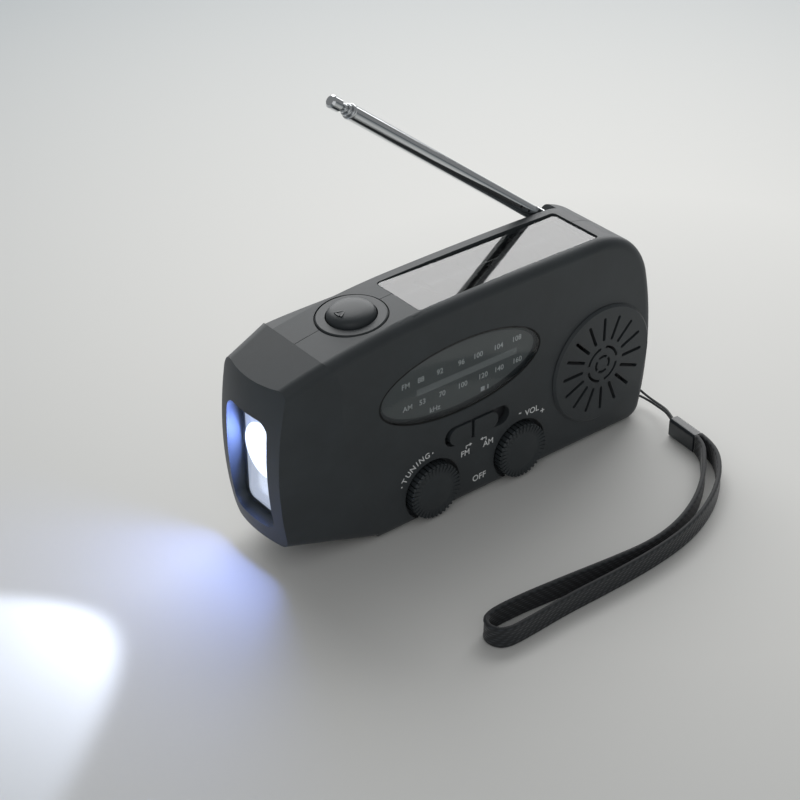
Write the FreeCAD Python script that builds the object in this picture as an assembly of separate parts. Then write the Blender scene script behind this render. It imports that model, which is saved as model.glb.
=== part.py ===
import FreeCAD, Part
import math
import os

V = FreeCAD.Vector

# Frame: +X towards the speaker end, -Y the front face, +Z up, origin at the centre of the flat base.
# All sizes are in millimetres.

# Case outline, seen from the front
CASE_FRONT_Y = -13.6
CASE_BACK_Y = 16.1
CASE_TOP_Z = 62.9
CROWN_X = 20.0
CROWN_R = 1500.0
SHOULDER_X = -12.0
SHOULDER_R = 235.0
SIDE_X = 63.2
SIDE_Z = 24.0
SIDE_R = 100.0
CORNER_TOP_R = 20.0
CORNER_LOW_R = 5.0
FRONT_EDGE_R = 2.8
BACK_EDGE_R = 4.0
WALL = 2.0
BACK_WALL = 2.6
ROOF_WALL = 5.6
REAR_ROOF_WALL = 8.3
PARTING_Y = 0.4
PARTING_GAP = 0.16
BULKHEAD = 2.5

# Seam between the case and the torch head
SEAM_X = -44.8
SEAM_Z = 50.0
SEAM_LOW_R = 113.0
SEAM_HIGH_R = 13.0
SEAM_HIGH_ANGLE = 65.0

# Torch head
HEAD_NOSE_X = -64.0
HEAD_MID_Y = 2.0
HEAD_MID_Z = 31.0
NOSE_PLAN_R = 40.0
NOSE_SIDE_R = 110.0
HEAD_FRONT_TAPER = 6.0
HEAD_BACK_TAPER = 10.0
HEAD_TOP_SLOPE = 0.38
HEAD_BOTTOM_X = -31.0
HEAD_BOTTOM_SLOPE = 0.245
TORCH_WINDOW_W = 17.4
TORCH_WINDOW_H = 32.5
TORCH_WINDOW_Z = 28.3
TORCH_WINDOW_R = 3.5
TORCH_LEDGE = 1.0
LENS_X = -58.2
LENS_T = 1.2
REFLECTOR_DEPTH = 10.0
BOWL_Z = 30.7
BOWL_R = 7.1
BOWL_DEPTH = 8.0
LED_R = 2.4
LED_LENGTH = 4.6
TORCH_BOARD_T = 1.2

# Speaker and its grille
SPEAKER_X = 43.4
SPEAKER_Z = 24.7
GRILLE_R = 17.8
GRILLE_RISE = 0.9
GRILLE_EDGE_R = 0.6
GRILLE_SLOTS = 16
SLOT_IN_R = 7.3
SLOT_OUT_R = 14.6
SLOT_W = 1.0
HUB_ARC_R = 5.2
HUB_ARC_W = 0.8
HUB_ARC_ANGLE = 70.0
HUB_ARCS = 4
HUB_INNER_R = 2.4
SPEAKER_R = 17.2
SPEAKER_FLANGE = 1.2
CONE_DEPTH = 5.4
MAGNET_R = 9.0
MAGNET_H = 4.6

# Dial
DIAL_X = -6.4
DIAL_Z = 40.2
DIAL_HALF_W = 27.0
DIAL_HALF_H = 10.9
DIAL_LEDGE = 1.6
DIAL_GAP = 0.25
DIAL_WINDOW_T = 0.9
DIAL_PLATE_T = 0.8
DIAL_PLATE_RIM = 2.2
SCALE_X0 = -20.0
SCALE_X1 = 12.8
SCALE_Z = 39.8
SCALE_H = 1.3
POINTER_X = 4.4
POINTER_W = 1.1
CARRIAGE_W = 5.0
CARRIAGE_H = 4.4

# Knobs
TUNE_X = -16.0
VOLUME_X = 14.2
KNOB_Z = 8.7
KNOB_R = 8.0
KNOB_RISE = 1.8
KNOB_CAP_R = 5.2
KNOB_CAP_RISE = 0.5
KNURLS = 36
KNURL_DEPTH = 0.7
WELL_R = 9.1
WELL_DEPTH = 2.3
WELL_FLOOR = 1.6
WELL_RIM = 1.1
KNOB_LIFT = 0.4
KNOB_SHAFT_R = 1.5
SHAFT_PLAY = 0.08
DRUM_R = 5.6
DRUM_T = 1.0
CORD_R = 0.3
CORD_PLAY = 0.12
PULLEY_R = 1.6
PULLEY_LEFT_X = -27.5
PULLEY_RIGHT_X = 20.5

# Band switch
SWITCH_X0 = -11.9
SWITCH_X1 = 10.3
SWITCH_Z0 = 19.3
SWITCH_Z1 = 25.2
SLIDER_X0 = -10.6
SLIDER_X1 = 6.0
SLIDER_PLAY = 0.3
SLIDER_RISE = 0.5
SLIDER_TRAVEL = 3.8

# Circuit board
BOARD_Y = -8.0
BOARD_T = 1.4
BOARD_X0 = -30.4
BOARD_X1 = 22.8
BOARD_Z0 = 3.0
BOARD_Z1 = 48.5
CAPACITOR_W = 17.0
CAPACITOR_H = 12.8
CAPACITOR_T = 5.2
CONTROL_W = 15.0
CONTROL_T = 4.2

# Torch button, built square to the sloping top
BUTTON_X = -31.5
BUTTON_Y = -0.4
BUTTON_R = 6.4
BUTTON_DOME = 2.4
BUTTON_SIDE = 1.7
BUTTON_FLANGE_R = 7.4
BUTTON_PLAY = 0.3
BUTTON_TRAVEL = 1.0
BEZEL_R = 9.2
BEZEL_DEPTH = 1.2
BEZEL_RISE = 0.15
BEZEL_GAP = 0.35
BUTTON_BOARD_Z = 48.7

# Solar panel
SOLAR_X0 = -18.1
SOLAR_X1 = 43.1
SOLAR_Y0 = -10.6
SOLAR_Y1 = 7.3
SOLAR_FLOOR_Z = 60.6
SOLAR_CELL_T = 0.6
SOLAR_WINDOW_T = 1.0
SOLAR_GAP = 0.25
SOLAR_CORNER_R = 1.2

# Antenna
PIVOT_X = 42.9
PIVOT_Y = 12.2
PIVOT_Z = 59.3
ANTENNA_REST = 37.6
ANTENNA_TUBE_R = 2.0
ANTENNA_TUBE_WALL = 0.35
ANTENNA_STEP_R = 0.45
ANTENNA_PLAY = 0.05
ANTENNA_TUBE_END = 81.5
ANTENNA_STEP_OUT = 1.1
ANTENNA_TIP_R = 1.7
ANTENNA_TIP_L = 3.6
ANTENNA_SECTIONS = 3
LUG_R = 2.4
LUG_W = 3.6
LUG_NECK = 4.5
PIN_R = 1.0
PIN_HEAD_R = 1.9
PIN_HEAD_T = 0.8
PIN_HEAD_GAP = 0.05
GROOVE_HALF_W = 2.4
GROOVE_DEPTH = 2.2
GROOVE_X0 = -52.0
GROOVE_X1 = 46.3

# Crank and gear train
CRANK_X = 4.0
CRANK_Z = 30.0
CRANK_SHAFT_R = 2.5
CRANK_REACH = 40.0
CRANK_HUB_R = 8.4
CRANK_END_R = 7.4
CRANK_T = 6.4
CRANK_GAP = 1.3
BOSS_R = 5.2
BOSS_RISE = 1.0
GRIP_R = 4.1
GRIP_LENGTH = 23.0
GRIP_START = 4.0
STEM_CAP_END = 1.4
STEM_R = 1.6
CRANK_SLOT_HALF_W = 4.6
CRANK_SLOT_GAP = 1.1
GRIP_PIN_R = 1.2
CRANK_MODULE = 0.6
CRANK_TEETH = 50
IDLER_PINION_TEETH = 12
IDLER_MODULE = 0.5
IDLER_TEETH = 44
ROTOR_TEETH = 11
ROTOR_ANGLE = 230.0
CRANK_GEAR_Y0 = 9.2
CRANK_GEAR_Y1 = 11.4
IDLER_GEAR_Y0 = 6.6
IDLER_GEAR_Y1 = 8.4
IDLER_SHAFT_R = 1.0
TOOTH_SHARE = 0.44
FRAME_Y0 = -1.0
FRAME_T = 1.4
FRAME_X0 = -35.4
FRAME_X1 = 14.0
FRAME_Z0 = 9.3
FRAME_Z1 = 47.8
STATOR_R = 9.0
STATOR_H = 5.8
STATOR_WALL = 0.8
ROTOR_R = 5.6
ROTOR_SHAFT_R = 0.8
FRAME_POSTS = ((10.0, 11.0), (-33.0, 38.0), (-9.0, 45.4))
POST_R = 2.0

# Screws and their bosses
SCREW_POINTS = ((-29.8, 6.0), (-38.4, 45.0), (26.4, 5.2), (53.4, 47.6))
SCREW_BOSS_R = 2.7
SCREW_R = 1.1
SCREW_HEAD_R = 2.2
SCREW_HEAD_H = 1.6
SCREW_SINK = 3.4
BOSS_TOP_Y = 9.6

# Aerial rod, cells and charging socket
ROD_X0 = -24.0
ROD_X1 = 22.0
ROD_Y = 4.0
ROD_Z = 52.0
ROD_R = 3.5
COIL_R = 4.3
COIL_X0 = -7.0
COIL_X1 = 8.0
CELL_R = 5.2
CELL_LENGTH = 30.0
CELL_PITCH = 10.6
CELL_X = 32.6
CELL_Z = 8.4
CELLS = 3
SOCKET_X = 18.0
SOCKET_Z = 8.0
SOCKET_W = 9.2
SOCKET_H = 3.6
SOCKET_DEPTH = 7.6
COVER_W = 14.0
COVER_H = 7.2
COVER_T = 1.2
COVER_GAP = 0.3

# Wrist strap
BAR_X = 61.6
BAR_Y = -6.6
BAR_Z = 3.9
BAR_R = 0.8
EYE_HALF = 2.4
BAR_SEAT = 0.6
THREAD_R = 0.35
THREAD_ROUTE = (
    (61.4, -26.05, 4.6),
    (63.7, -21.8, 4.6),
    (65.1, -17.0, 3.7),
    (65.2, -12.0, 3.9),
    (65.0, -7.4, 5.15),
    (60.35, -6.6, 5.15),
    (60.35, -6.6, 2.65),
    (65.0, -7.4, 2.65),
    (65.2, -12.0, 2.95),
    (65.1, -17.0, 2.75),
    (63.7, -21.8, 3.6),
    (61.4, -26.05, 3.6),
)
CLASP_BACK = (61.4, -26.2)
CLASP_FRONT = (60.4, -36.4)
CLASP_W = 3.4
CLASP_H = 5.8
CLASP_EDGE_R = 0.9
BAND_W = 6.0
BAND_T = 1.3
BAND_ROUTE = (
    (61.15, -36.8),
    (60.6, -41.2),
    (57.6, -47.0),
    (51.2, -53.4),
    (41.5, -59.6),
    (29.0, -64.2),
    (15.0, -66.0),
    (0.0, -66.3),
    (-15.0, -65.9),
    (-28.0, -66.4),
    (-36.2, -66.4),
    (-38.5, -62.4),
    (-36.2, -58.4),
    (-26.0, -58.5),
    (-12.0, -60.0),
    (2.0, -61.8),
    (15.0, -63.1),
    (26.5, -61.6),
    (37.5, -57.4),
    (47.0, -51.4),
    (54.4, -44.6),
    (58.5, -40.2),
    (59.65, -36.65),
)


def box(x0, x1, y0, y1, z0, z1):
    """Block between two corners."""
    return Part.makeBox(x1 - x0, y1 - y0, z1 - z0, V(x0, y0, z0))


def rod_y(x, z, r, y0, y1):
    """Cylinder along Y."""
    return Part.makeCylinder(r, y1 - y0, V(x, y0, z), V(0, 1, 0))


def rod_x(y, z, r, x0, x1):
    """Cylinder along X."""
    return Part.makeCylinder(r, x1 - x0, V(x0, y, z), V(1, 0, 0))


def rod_z(x, y, r, z0, z1):
    """Cylinder along Z."""
    return Part.makeCylinder(r, z1 - z0, V(x, y, z0), V(0, 0, 1))


def line(p, q):
    """Straight edge."""
    return Part.LineSegment(V(*p), V(*q)).toShape()


def arc_xz(centre, r, a0, a1, y=0.0):
    """Arc in a plane of constant Y, angles in radians from +X towards +Z."""
    points = []
    for share in (0.0, 0.5, 1.0):
        a = a0 + share * (a1 - a0)
        points.append(V(centre[0] + r * math.cos(a), y, centre[1] + r * math.sin(a)))
    return Part.Arc(*points).toShape()


def polar(centre, r, a):
    """Point at an angle in radians on a circle in XZ."""
    return (centre[0] + r * math.cos(a), centre[1] + r * math.sin(a))


def angle_of(centre, point):
    """Angle of a point seen from a centre, in radians."""
    return math.atan2(point[1] - centre[1], point[0] - centre[0])


def plate_xz(points, y0, y1):
    """Straight-sided plate from an outline in XZ, with a thickness along Y."""
    corners = [V(x, y0, z) for x, z in points]
    face = Part.Face(Part.makePolygon(corners + corners[:1]))
    return face.extrude(V(0, y1 - y0, 0))


def rounded_box(x0, x1, y0, y1, z0, z1, r, axis):
    """Block whose four edges along one axis are rounded."""
    block = box(x0, x1, y0, y1, z0, z1)
    along = {"x": V(1, 0, 0), "y": V(0, 1, 0), "z": V(0, 0, 1)}[axis]
    edges = [e for e in block.Edges if abs(e.tangentAt(e.FirstParameter).dot(along)) > 0.99]
    return block.makeFillet(r, edges)


def crown_centre():
    """Centre of the long arc over the top."""
    return (CROWN_X, CASE_TOP_Z - CROWN_R)


def shoulder_centre():
    """Centre of the arc that carries the top down to the torch head."""
    centre = crown_centre()
    a = math.acos((SHOULDER_X - centre[0]) / CROWN_R)
    return polar(centre, CROWN_R - SHOULDER_R, a)


def side_centre():
    """Centre of the bowed speaker end."""
    return (SIDE_X - SIDE_R, SIDE_Z)


def meet(c0, r0, c1, r1):
    """Right-hand meeting point of two circles in XZ."""
    dx = c1[0] - c0[0]
    dz = c1[1] - c0[1]
    gap = math.hypot(dx, dz)
    along = (r0 * r0 - r1 * r1 + gap * gap) / (2 * gap)
    off = math.sqrt(r0 * r0 - along * along)
    spots = []
    for sign in (1, -1):
        x = c0[0] + along * dx / gap + sign * off * dz / gap
        z = c0[1] + along * dz / gap - sign * off * dx / gap
        spots.append((x, z))
    return max(spots)


def case_block(inset, left_x, y0, y1):
    """Case outline moved inwards by a wall, as a block with its two end corners rounded."""
    crown = crown_centre()
    shoulder = shoulder_centre()
    side = side_centre()
    crown_r = CROWN_R - inset
    shoulder_r = SHOULDER_R - inset
    side_r = SIDE_R - inset
    low = (side[0] + math.sqrt(side_r ** 2 - (side[1] - inset) ** 2), inset)
    high = meet(crown, crown_r, side, side_r)
    join_angle = math.acos((SHOULDER_X - crown[0]) / CROWN_R)
    left_angle = math.acos((left_x - shoulder[0]) / shoulder_r)
    left_top = polar(shoulder, shoulder_r, left_angle)
    edges = [
        line((left_x, y0, inset), (low[0], y0, low[1])),
        arc_xz(side, side_r, angle_of(side, low), angle_of(side, high), y0),
        arc_xz(crown, crown_r, angle_of(crown, high), join_angle, y0),
        arc_xz(shoulder, shoulder_r, join_angle, left_angle, y0),
        line((left_top[0], y0, left_top[1]), (left_x, y0, inset)),
    ]
    block = Part.Face(Part.Wire(edges)).extrude(V(0, y1 - y0, 0))
    for corner, r in ((high, CORNER_TOP_R - inset), (low, CORNER_LOW_R - inset)):
        picked = []
        for edge in block.Edges:
            ends = [v.Point for v in edge.Vertexes]
            near = [abs(p.x - corner[0]) + abs(p.z - corner[1]) < 0.01 for p in ends]
            if len(ends) == 2 and all(near):
                picked.append(edge)
        block = block.makeFillet(r, picked)
    return block


def rim_edges(shape, y, left_x):
    """Edges of a block that lie on one face of constant Y, without the cut left end."""
    found = []
    for edge in shape.Edges:
        bounds = edge.BoundBox
        flat = abs(bounds.YMin - y) < 0.001 and abs(bounds.YMax - y) < 0.001
        if flat and bounds.XMax > left_x + 0.01:
            found.append(edge)
    return found


def seam_face(y, shift=0.0):
    """Everything to the left of the seam, as a face in XZ."""
    low_centre = (SEAM_X + SEAM_LOW_R + shift, SEAM_Z)
    high_centre = (SEAM_X - SEAM_HIGH_R + shift, SEAM_Z)
    below = -2.0
    above = 80.0
    far = -90.0
    a_low = math.pi + math.asin((SEAM_Z - below) / SEAM_LOW_R)
    a_high = math.radians(SEAM_HIGH_ANGLE)
    start = polar(low_centre, SEAM_LOW_R, a_low)
    end = polar(high_centre, SEAM_HIGH_R, a_high)
    edges = [
        arc_xz(low_centre, SEAM_LOW_R, a_low, math.pi, y),
        arc_xz(high_centre, SEAM_HIGH_R, 0.0, a_high, y),
        line((end[0], y, end[1]), (end[0], y, above)),
        line((end[0], y, above), (far, y, above)),
        line((far, y, above), (far, y, start[1])),
        line((far, y, start[1]), (start[0], y, start[1])),
    ]
    return Part.Face(Part.Wire(edges))


def left_of_seam(shift=0.0):
    """Solid to the left of the seam surface."""
    return seam_face(-60.0, shift).extrude(V(0, 120, 0))


def case_outer():
    """Outer form of the case, from the seam to the speaker end."""
    left_x = SEAM_X - 15.0
    block = case_block(0.0, left_x, CASE_FRONT_Y, CASE_BACK_Y)
    block = block.makeFillet(FRONT_EDGE_R, rim_edges(block, CASE_FRONT_Y, left_x))
    block = block.makeFillet(BACK_EDGE_R, rim_edges(block, CASE_BACK_Y, left_x))
    return block.cut(left_of_seam())


def case_cavity():
    """Room inside the case."""
    y0 = CASE_FRONT_Y + WALL
    y1 = CASE_BACK_Y - BACK_WALL
    room = case_block(WALL, SEAM_X - 15.0, y0, y1)
    roof = CASE_TOP_Z - ROOF_WALL
    rear_roof = CASE_TOP_Z - REAR_ROOF_WALL
    groove_front = PIVOT_Y - GROOVE_HALF_W - WALL + 0.4
    room = room.cut(box(-90, 90, y0 - 1, y1 + 1, roof, 90))
    room = room.cut(box(-90, 90, groove_front, y1 + 1, rear_roof, 90))
    return room.cut(left_of_seam(BULKHEAD))


def top_height(x):
    """Height of the case top at a place left of the crown."""
    centre = shoulder_centre()
    return centre[1] + math.sqrt(SHOULDER_R ** 2 - (x - centre[0]) ** 2)


def button_placement():
    """Place on the sloping top where the torch button stands square to the surface."""
    centre = shoulder_centre()
    tilt = math.degrees(math.asin((BUTTON_X - centre[0]) / SHOULDER_R))
    spot = V(BUTTON_X, BUTTON_Y, top_height(BUTTON_X))
    return FreeCAD.Placement(spot, FreeCAD.Rotation(V(0, 1, 0), tilt))


def at_button(shape):
    """Move a shape built round the origin to the torch button."""
    shape.Placement = button_placement().multiply(shape.Placement)
    return shape


def stadium_x(x0, x1, z0, z1, y0, y1):
    """Slot with round ends, long along X, through a wall of constant Y."""
    r = (z1 - z0) / 2
    mid = (z0 + z1) / 2
    body = box(x0 + r, x1 - r, y0, y1, z0, z1)
    body = body.fuse(rod_y(x0 + r, mid, r, y0, y1))
    return body.fuse(rod_y(x1 - r, mid, r, y0, y1)).removeSplitter()


def ellipse_plate(half_w, half_h, y0, y1):
    """Elliptical plate at the dial."""
    centre = V(DIAL_X, y0, DIAL_Z)
    curve = Part.Ellipse(centre + V(half_w, 0, 0), centre + V(0, 0, half_h), centre)
    return Part.Face(Part.Wire(curve.toShape())).extrude(V(0, y1 - y0, 0))


def grille_cutters():
    """Radial slots and hub arcs of the speaker grille."""
    y0 = CASE_FRONT_Y - GRILLE_RISE - 1.0
    y1 = CASE_FRONT_Y + WALL + 1.0
    cutters = []
    for i in range(GRILLE_SLOTS):
        slot = stadium_x(SLOT_IN_R, SLOT_OUT_R, -SLOT_W / 2, SLOT_W / 2, y0, y1)
        slot.rotate(V(0, 0, 0), V(0, 1, 0), i * 360.0 / GRILLE_SLOTS)
        slot.translate(V(SPEAKER_X, 0, SPEAKER_Z))
        cutters.append(slot)
    half = math.radians(HUB_ARC_ANGLE / 2)
    centre = (SPEAKER_X, SPEAKER_Z)
    for i in range(2 * HUB_ARCS):
        ring_r = HUB_ARC_R if i < HUB_ARCS else HUB_INNER_R
        mid = (i % HUB_ARCS) * 2 * math.pi / HUB_ARCS + (math.pi / HUB_ARCS if i < HUB_ARCS else 0.0)
        inner = ring_r - HUB_ARC_W / 2
        outer = ring_r + HUB_ARC_W / 2
        corners = [polar(centre, r, a) for r, a in
                   ((inner, mid + half), (outer, mid + half), (outer, mid - half), (inner, mid - half))]
        edges = [
            arc_xz(centre, inner, mid - half, mid + half, y0),
            line((corners[0][0], y0, corners[0][1]), (corners[1][0], y0, corners[1][1])),
            arc_xz(centre, outer, mid + half, mid - half, y0),
            line((corners[2][0], y0, corners[2][1]), (corners[3][0], y0, corners[3][1])),
        ]
        cutters.append(Part.Face(Part.Wire(edges)).extrude(V(0, y1 - y0, 0)))
    return cutters


def top_cutters():
    """Pockets in the top that both shells share: solar panel, torch button and its bezel."""
    solar = rounded_box(SOLAR_X0, SOLAR_X1, SOLAR_Y0, SOLAR_Y1, SOLAR_FLOOR_Z, 90.0, SOLAR_CORNER_R, "z")
    deep = -(top_height(BUTTON_X) - (CASE_TOP_Z - ROOF_WALL)) - 3.0
    bezel = at_button(rod_z(0, 0, BEZEL_R + BEZEL_GAP, -BEZEL_DEPTH, 6.0))
    bore = at_button(rod_z(0, 0, BUTTON_R + BUTTON_PLAY, deep, 6.0))
    under = at_button(rod_z(0, 0, BUTTON_FLANGE_R + BUTTON_PLAY, deep, button_ledge()))
    return [solar, bezel, bore, under]


def button_ledge():
    """Height of the ledge that keeps the button in, in the button's own frame."""
    return -(top_height(BUTTON_X) - (CASE_TOP_Z - ROOF_WALL)) + 0.9


def strap_eye():
    """Notch in the speaker end round the strap bar."""
    return box(BAR_X - EYE_HALF, SIDE_X + 5.0, BAR_Y - EYE_HALF, BAR_Y + EYE_HALF, BAR_Z - 1.9, BAR_Z + 1.9)


def front_shell(outer, cavity):
    """Front moulding with the grille, dial opening, knob wells, switch slot and screw bosses."""
    inner_y = CASE_FRONT_Y + WALL
    keep = box(-90, 90, -60, PARTING_Y - PARTING_GAP / 2, -10, 90)
    shell = outer.common(keep).cut(cavity)
    rise = rod_y(SPEAKER_X, SPEAKER_Z, GRILLE_R, CASE_FRONT_Y - GRILLE_RISE, inner_y)
    rim = [e for e in rise.Edges if abs(e.BoundBox.YMin - (CASE_FRONT_Y - GRILLE_RISE)) < 0.001
           and abs(e.BoundBox.YMax - e.BoundBox.YMin) < 0.001]
    parts = [rise.makeChamfer(GRILLE_EDGE_R, rim)]
    well_floor_y = CASE_FRONT_Y + WELL_DEPTH
    for x in (TUNE_X, VOLUME_X):
        pad = rod_y(x, KNOB_Z, WELL_R + WELL_RIM, inner_y - 0.5, well_floor_y + WELL_FLOOR)
        parts.append(pad.common(outer))
    for x, z in SCREW_POINTS:
        parts.append(rod_y(x, z, SCREW_BOSS_R, inner_y - 0.5, BOSS_TOP_Y))
    shell = shell.fuse(parts)
    cutters = grille_cutters() + top_cutters()
    for x in (TUNE_X, VOLUME_X):
        cutters.append(rod_y(x, KNOB_Z, WELL_R, CASE_FRONT_Y - 1, well_floor_y))
        cutters.append(rod_y(x, KNOB_Z, KNOB_SHAFT_R + SHAFT_PLAY, well_floor_y - 1, 0.0))
    cutters.append(ellipse_plate(DIAL_HALF_W, DIAL_HALF_H, CASE_FRONT_Y - 1,
                                 CASE_FRONT_Y + DIAL_WINDOW_T + 0.1))
    cutters.append(ellipse_plate(DIAL_HALF_W - DIAL_LEDGE, DIAL_HALF_H - DIAL_LEDGE,
                                 CASE_FRONT_Y, inner_y + 1))
    cutters.append(stadium_x(SWITCH_X0, SWITCH_X1, SWITCH_Z0, SWITCH_Z1, CASE_FRONT_Y - 1, inner_y + 0.1))
    for x, z in SCREW_POINTS:
        cutters.append(rod_y(x, z, SCREW_R, BOSS_TOP_Y - 8.0, BOSS_TOP_Y + 1))
    cutters.append(strap_eye())
    cutters.append(strap_bar())
    return shell.cut(cutters).removeSplitter()


def groove_cutter():
    """Open rebate along the back top edge that the folded antenna lies in."""
    y0 = PIVOT_Y - GROOVE_HALF_W
    y1 = CASE_BACK_Y + 1.0
    channel = box(GROOVE_X0, GROOVE_X1, y0, y1, PIVOT_Z - GROOVE_DEPTH, 90.0)
    deep = box(PIVOT_X - LUG_NECK, GROOVE_X1, y0, y1, PIVOT_Z - LUG_R - 0.4, 90.0)
    return channel.fuse(deep)


def rear_shell(outer, cavity):
    """Rear moulding with the antenna groove, crank bearing, posts, screw holes and charging port."""
    inner_y = CASE_BACK_Y - BACK_WALL
    keep = box(-90, 90, PARTING_Y + PARTING_GAP / 2, 90, -10, 90)
    shell = outer.common(keep).cut(cavity)
    parts = [rod_y(CRANK_X, CRANK_Z, BOSS_R, CRANK_GEAR_Y1 + 0.4, CASE_BACK_Y + BOSS_RISE)]
    for x, z in FRAME_POSTS:
        parts.append(rod_y(x, z, POST_R, FRAME_Y0 + FRAME_T, inner_y + 0.5))
    for x, z in SCREW_POINTS:
        parts.append(rod_y(x, z, SCREW_BOSS_R, BOSS_TOP_Y + 0.2, inner_y + 0.5))
    idler = idler_place()
    parts.append(rod_y(idler[0], idler[1], 2.4, CRANK_GEAR_Y1 + 0.4, inner_y + 0.5))
    for x in (ROD_X0 + 3.0, ROD_X1 - 5.0):
        parts.append(box(x, x + 2.0, ROD_Y + ROD_R + 0.1, inner_y + 0.5, ROD_Z - 3.0, ROD_Z + 2.4))
    board_z = SOCKET_Z - SOCKET_H / 2 - 1.4
    parts.append(box(SOCKET_X - 3.0, SOCKET_X + 3.0, 8.0, 12.0, WALL - 0.5, board_z - 0.1))
    shell = shell.fuse(parts)
    cutters = top_cutters() + [groove_cutter()]
    cutters.append(rod_y(PIVOT_X, PIVOT_Z, PIN_R, PIVOT_Y - GROOVE_HALF_W - 1.4, CASE_BACK_Y + 1))
    cutters.append(rod_y(CRANK_X, CRANK_Z, CRANK_SHAFT_R + SHAFT_PLAY, 0, 30))
    cutters.append(rod_y(idler[0], idler[1], IDLER_SHAFT_R, CRANK_GEAR_Y1, inner_y))
    for x, z in FRAME_POSTS:
        cutters.append(rod_y(x, z, SCREW_R - 0.3, FRAME_Y0, 7.0))
    for x, z in SCREW_POINTS:
        cutters.append(rod_y(x, z, SCREW_R + 0.15, BOSS_TOP_Y, 30))
        cutters.append(rod_y(x, z, SCREW_HEAD_R + 0.3, CASE_BACK_Y - SCREW_SINK, 30))
    port_z0 = SOCKET_Z - SOCKET_H / 2
    cutters.append(stadium_x(SOCKET_X - SOCKET_W / 2, SOCKET_X + SOCKET_W / 2, port_z0, port_z0 + SOCKET_H,
                             inner_y - 1, 30))
    recess = COVER_GAP
    cutters.append(rounded_box(SOCKET_X - COVER_W / 2 - recess, SOCKET_X + COVER_W / 2 + recess,
                               CASE_BACK_Y - COVER_T, CASE_BACK_Y + 5,
                               SOCKET_Z - COVER_H / 2 - recess, SOCKET_Z + COVER_H / 2 + recess, 1.0, "y"))
    return shell.cut(cutters).removeSplitter()


def head_outer():
    """Tapered torch head, from the seam to its bowed end face."""
    far_x = HEAD_NOSE_X - 3.0
    seam_top_x = SEAM_X - SEAM_HIGH_R + SEAM_HIGH_R * math.cos(math.asin(8.9 / SEAM_HIGH_R))
    seam_top_z = top_height(seam_top_x)
    outline = [
        (far_x, (HEAD_BOTTOM_X - far_x) * HEAD_BOTTOM_SLOPE),
        (HEAD_BOTTOM_X, 0.0),
        (HEAD_BOTTOM_X + 8.0, 0.0),
        (HEAD_BOTTOM_X + 8.0, seam_top_z),
        (seam_top_x, seam_top_z),
        (far_x, seam_top_z - (seam_top_x - far_x) * HEAD_TOP_SLOPE),
    ]
    head = plate_xz(outline, CASE_FRONT_Y, CASE_BACK_Y)
    head = head.common(left_of_seam())
    front = seam_face(CASE_FRONT_Y).extrude(V(-HEAD_FRONT_TAPER, 1, 0) * 6.0)
    back = seam_face(CASE_BACK_Y).extrude(V(-HEAD_BACK_TAPER, -1, 0) * 4.0)
    head = head.cut(front).cut(back)
    axis_x = HEAD_NOSE_X + NOSE_PLAN_R
    centre = (HEAD_NOSE_X + NOSE_SIDE_R, HEAD_MID_Z)
    half = math.asin(40.0 / NOSE_SIDE_R)
    top = polar(centre, NOSE_SIDE_R, math.pi - half)
    low = polar(centre, NOSE_SIDE_R, math.pi + half)
    y = HEAD_MID_Y
    edges = [
        arc_xz(centre, NOSE_SIDE_R, math.pi - half, math.pi + half, y),
        line((low[0], y, low[1]), (axis_x, y, low[1])),
        line((axis_x, y, low[1]), (axis_x, y, top[1])),
        line((axis_x, y, top[1]), (top[0], y, top[1])),
    ]
    barrel = Part.Face(Part.Wire(edges)).revolve(V(axis_x, y, 0), V(0, 0, 1), 360)
    return head.common(barrel)


def soften_head(head):
    """Round the long sloping edges; the edges along the seam stay sharp."""
    long_front = [e for e in sloping_edges(head) if e.BoundBox.YMax < CASE_FRONT_Y + 5.0]
    head = head.makeFillet(FRONT_EDGE_R, long_front)
    long_back = [e for e in sloping_edges(head) if e.BoundBox.YMin > CASE_BACK_Y - 5.0]
    return head.makeFillet(BACK_EDGE_R, long_back)


def sloping_edges(head):
    """Edges of the head that run towards its nose at a slope."""
    found = []
    for edge in head.Edges:
        b = edge.BoundBox
        if b.XLength > 8.0 and 0.5 < b.ZLength < b.XLength:
            found.append(edge)
    return found


def torch_opening(grow, x0, x1):
    """Rounded rectangular prism on the torch axis."""
    half_w = TORCH_WINDOW_W / 2 + grow
    half_h = TORCH_WINDOW_H / 2 + grow
    return rounded_box(x0, x1, HEAD_MID_Y - half_w, HEAD_MID_Y + half_w,
                       TORCH_WINDOW_Z - half_h, TORCH_WINDOW_Z + half_h, TORCH_WINDOW_R + grow, "x")


def torch_head():
    """Torch head moulding with its window and the room behind it."""
    head = soften_head(head_outer())
    back_x = LENS_X + REFLECTOR_DEPTH + TORCH_BOARD_T + 0.4
    cutters = [
        torch_opening(0.0, HEAD_NOSE_X - 8.0, LENS_X),
        torch_opening(-TORCH_LEDGE, LENS_X - 0.1, back_x),
        rod_x(HEAD_MID_Y, BOWL_Z, 2.0, back_x - 1.0, -30.0),
    ]
    return head.cut(cutters)


def torch_lens():
    """Clear lens seated on the ledge in the torch window."""
    return torch_opening(-0.15, LENS_X - LENS_T, LENS_X)


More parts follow.
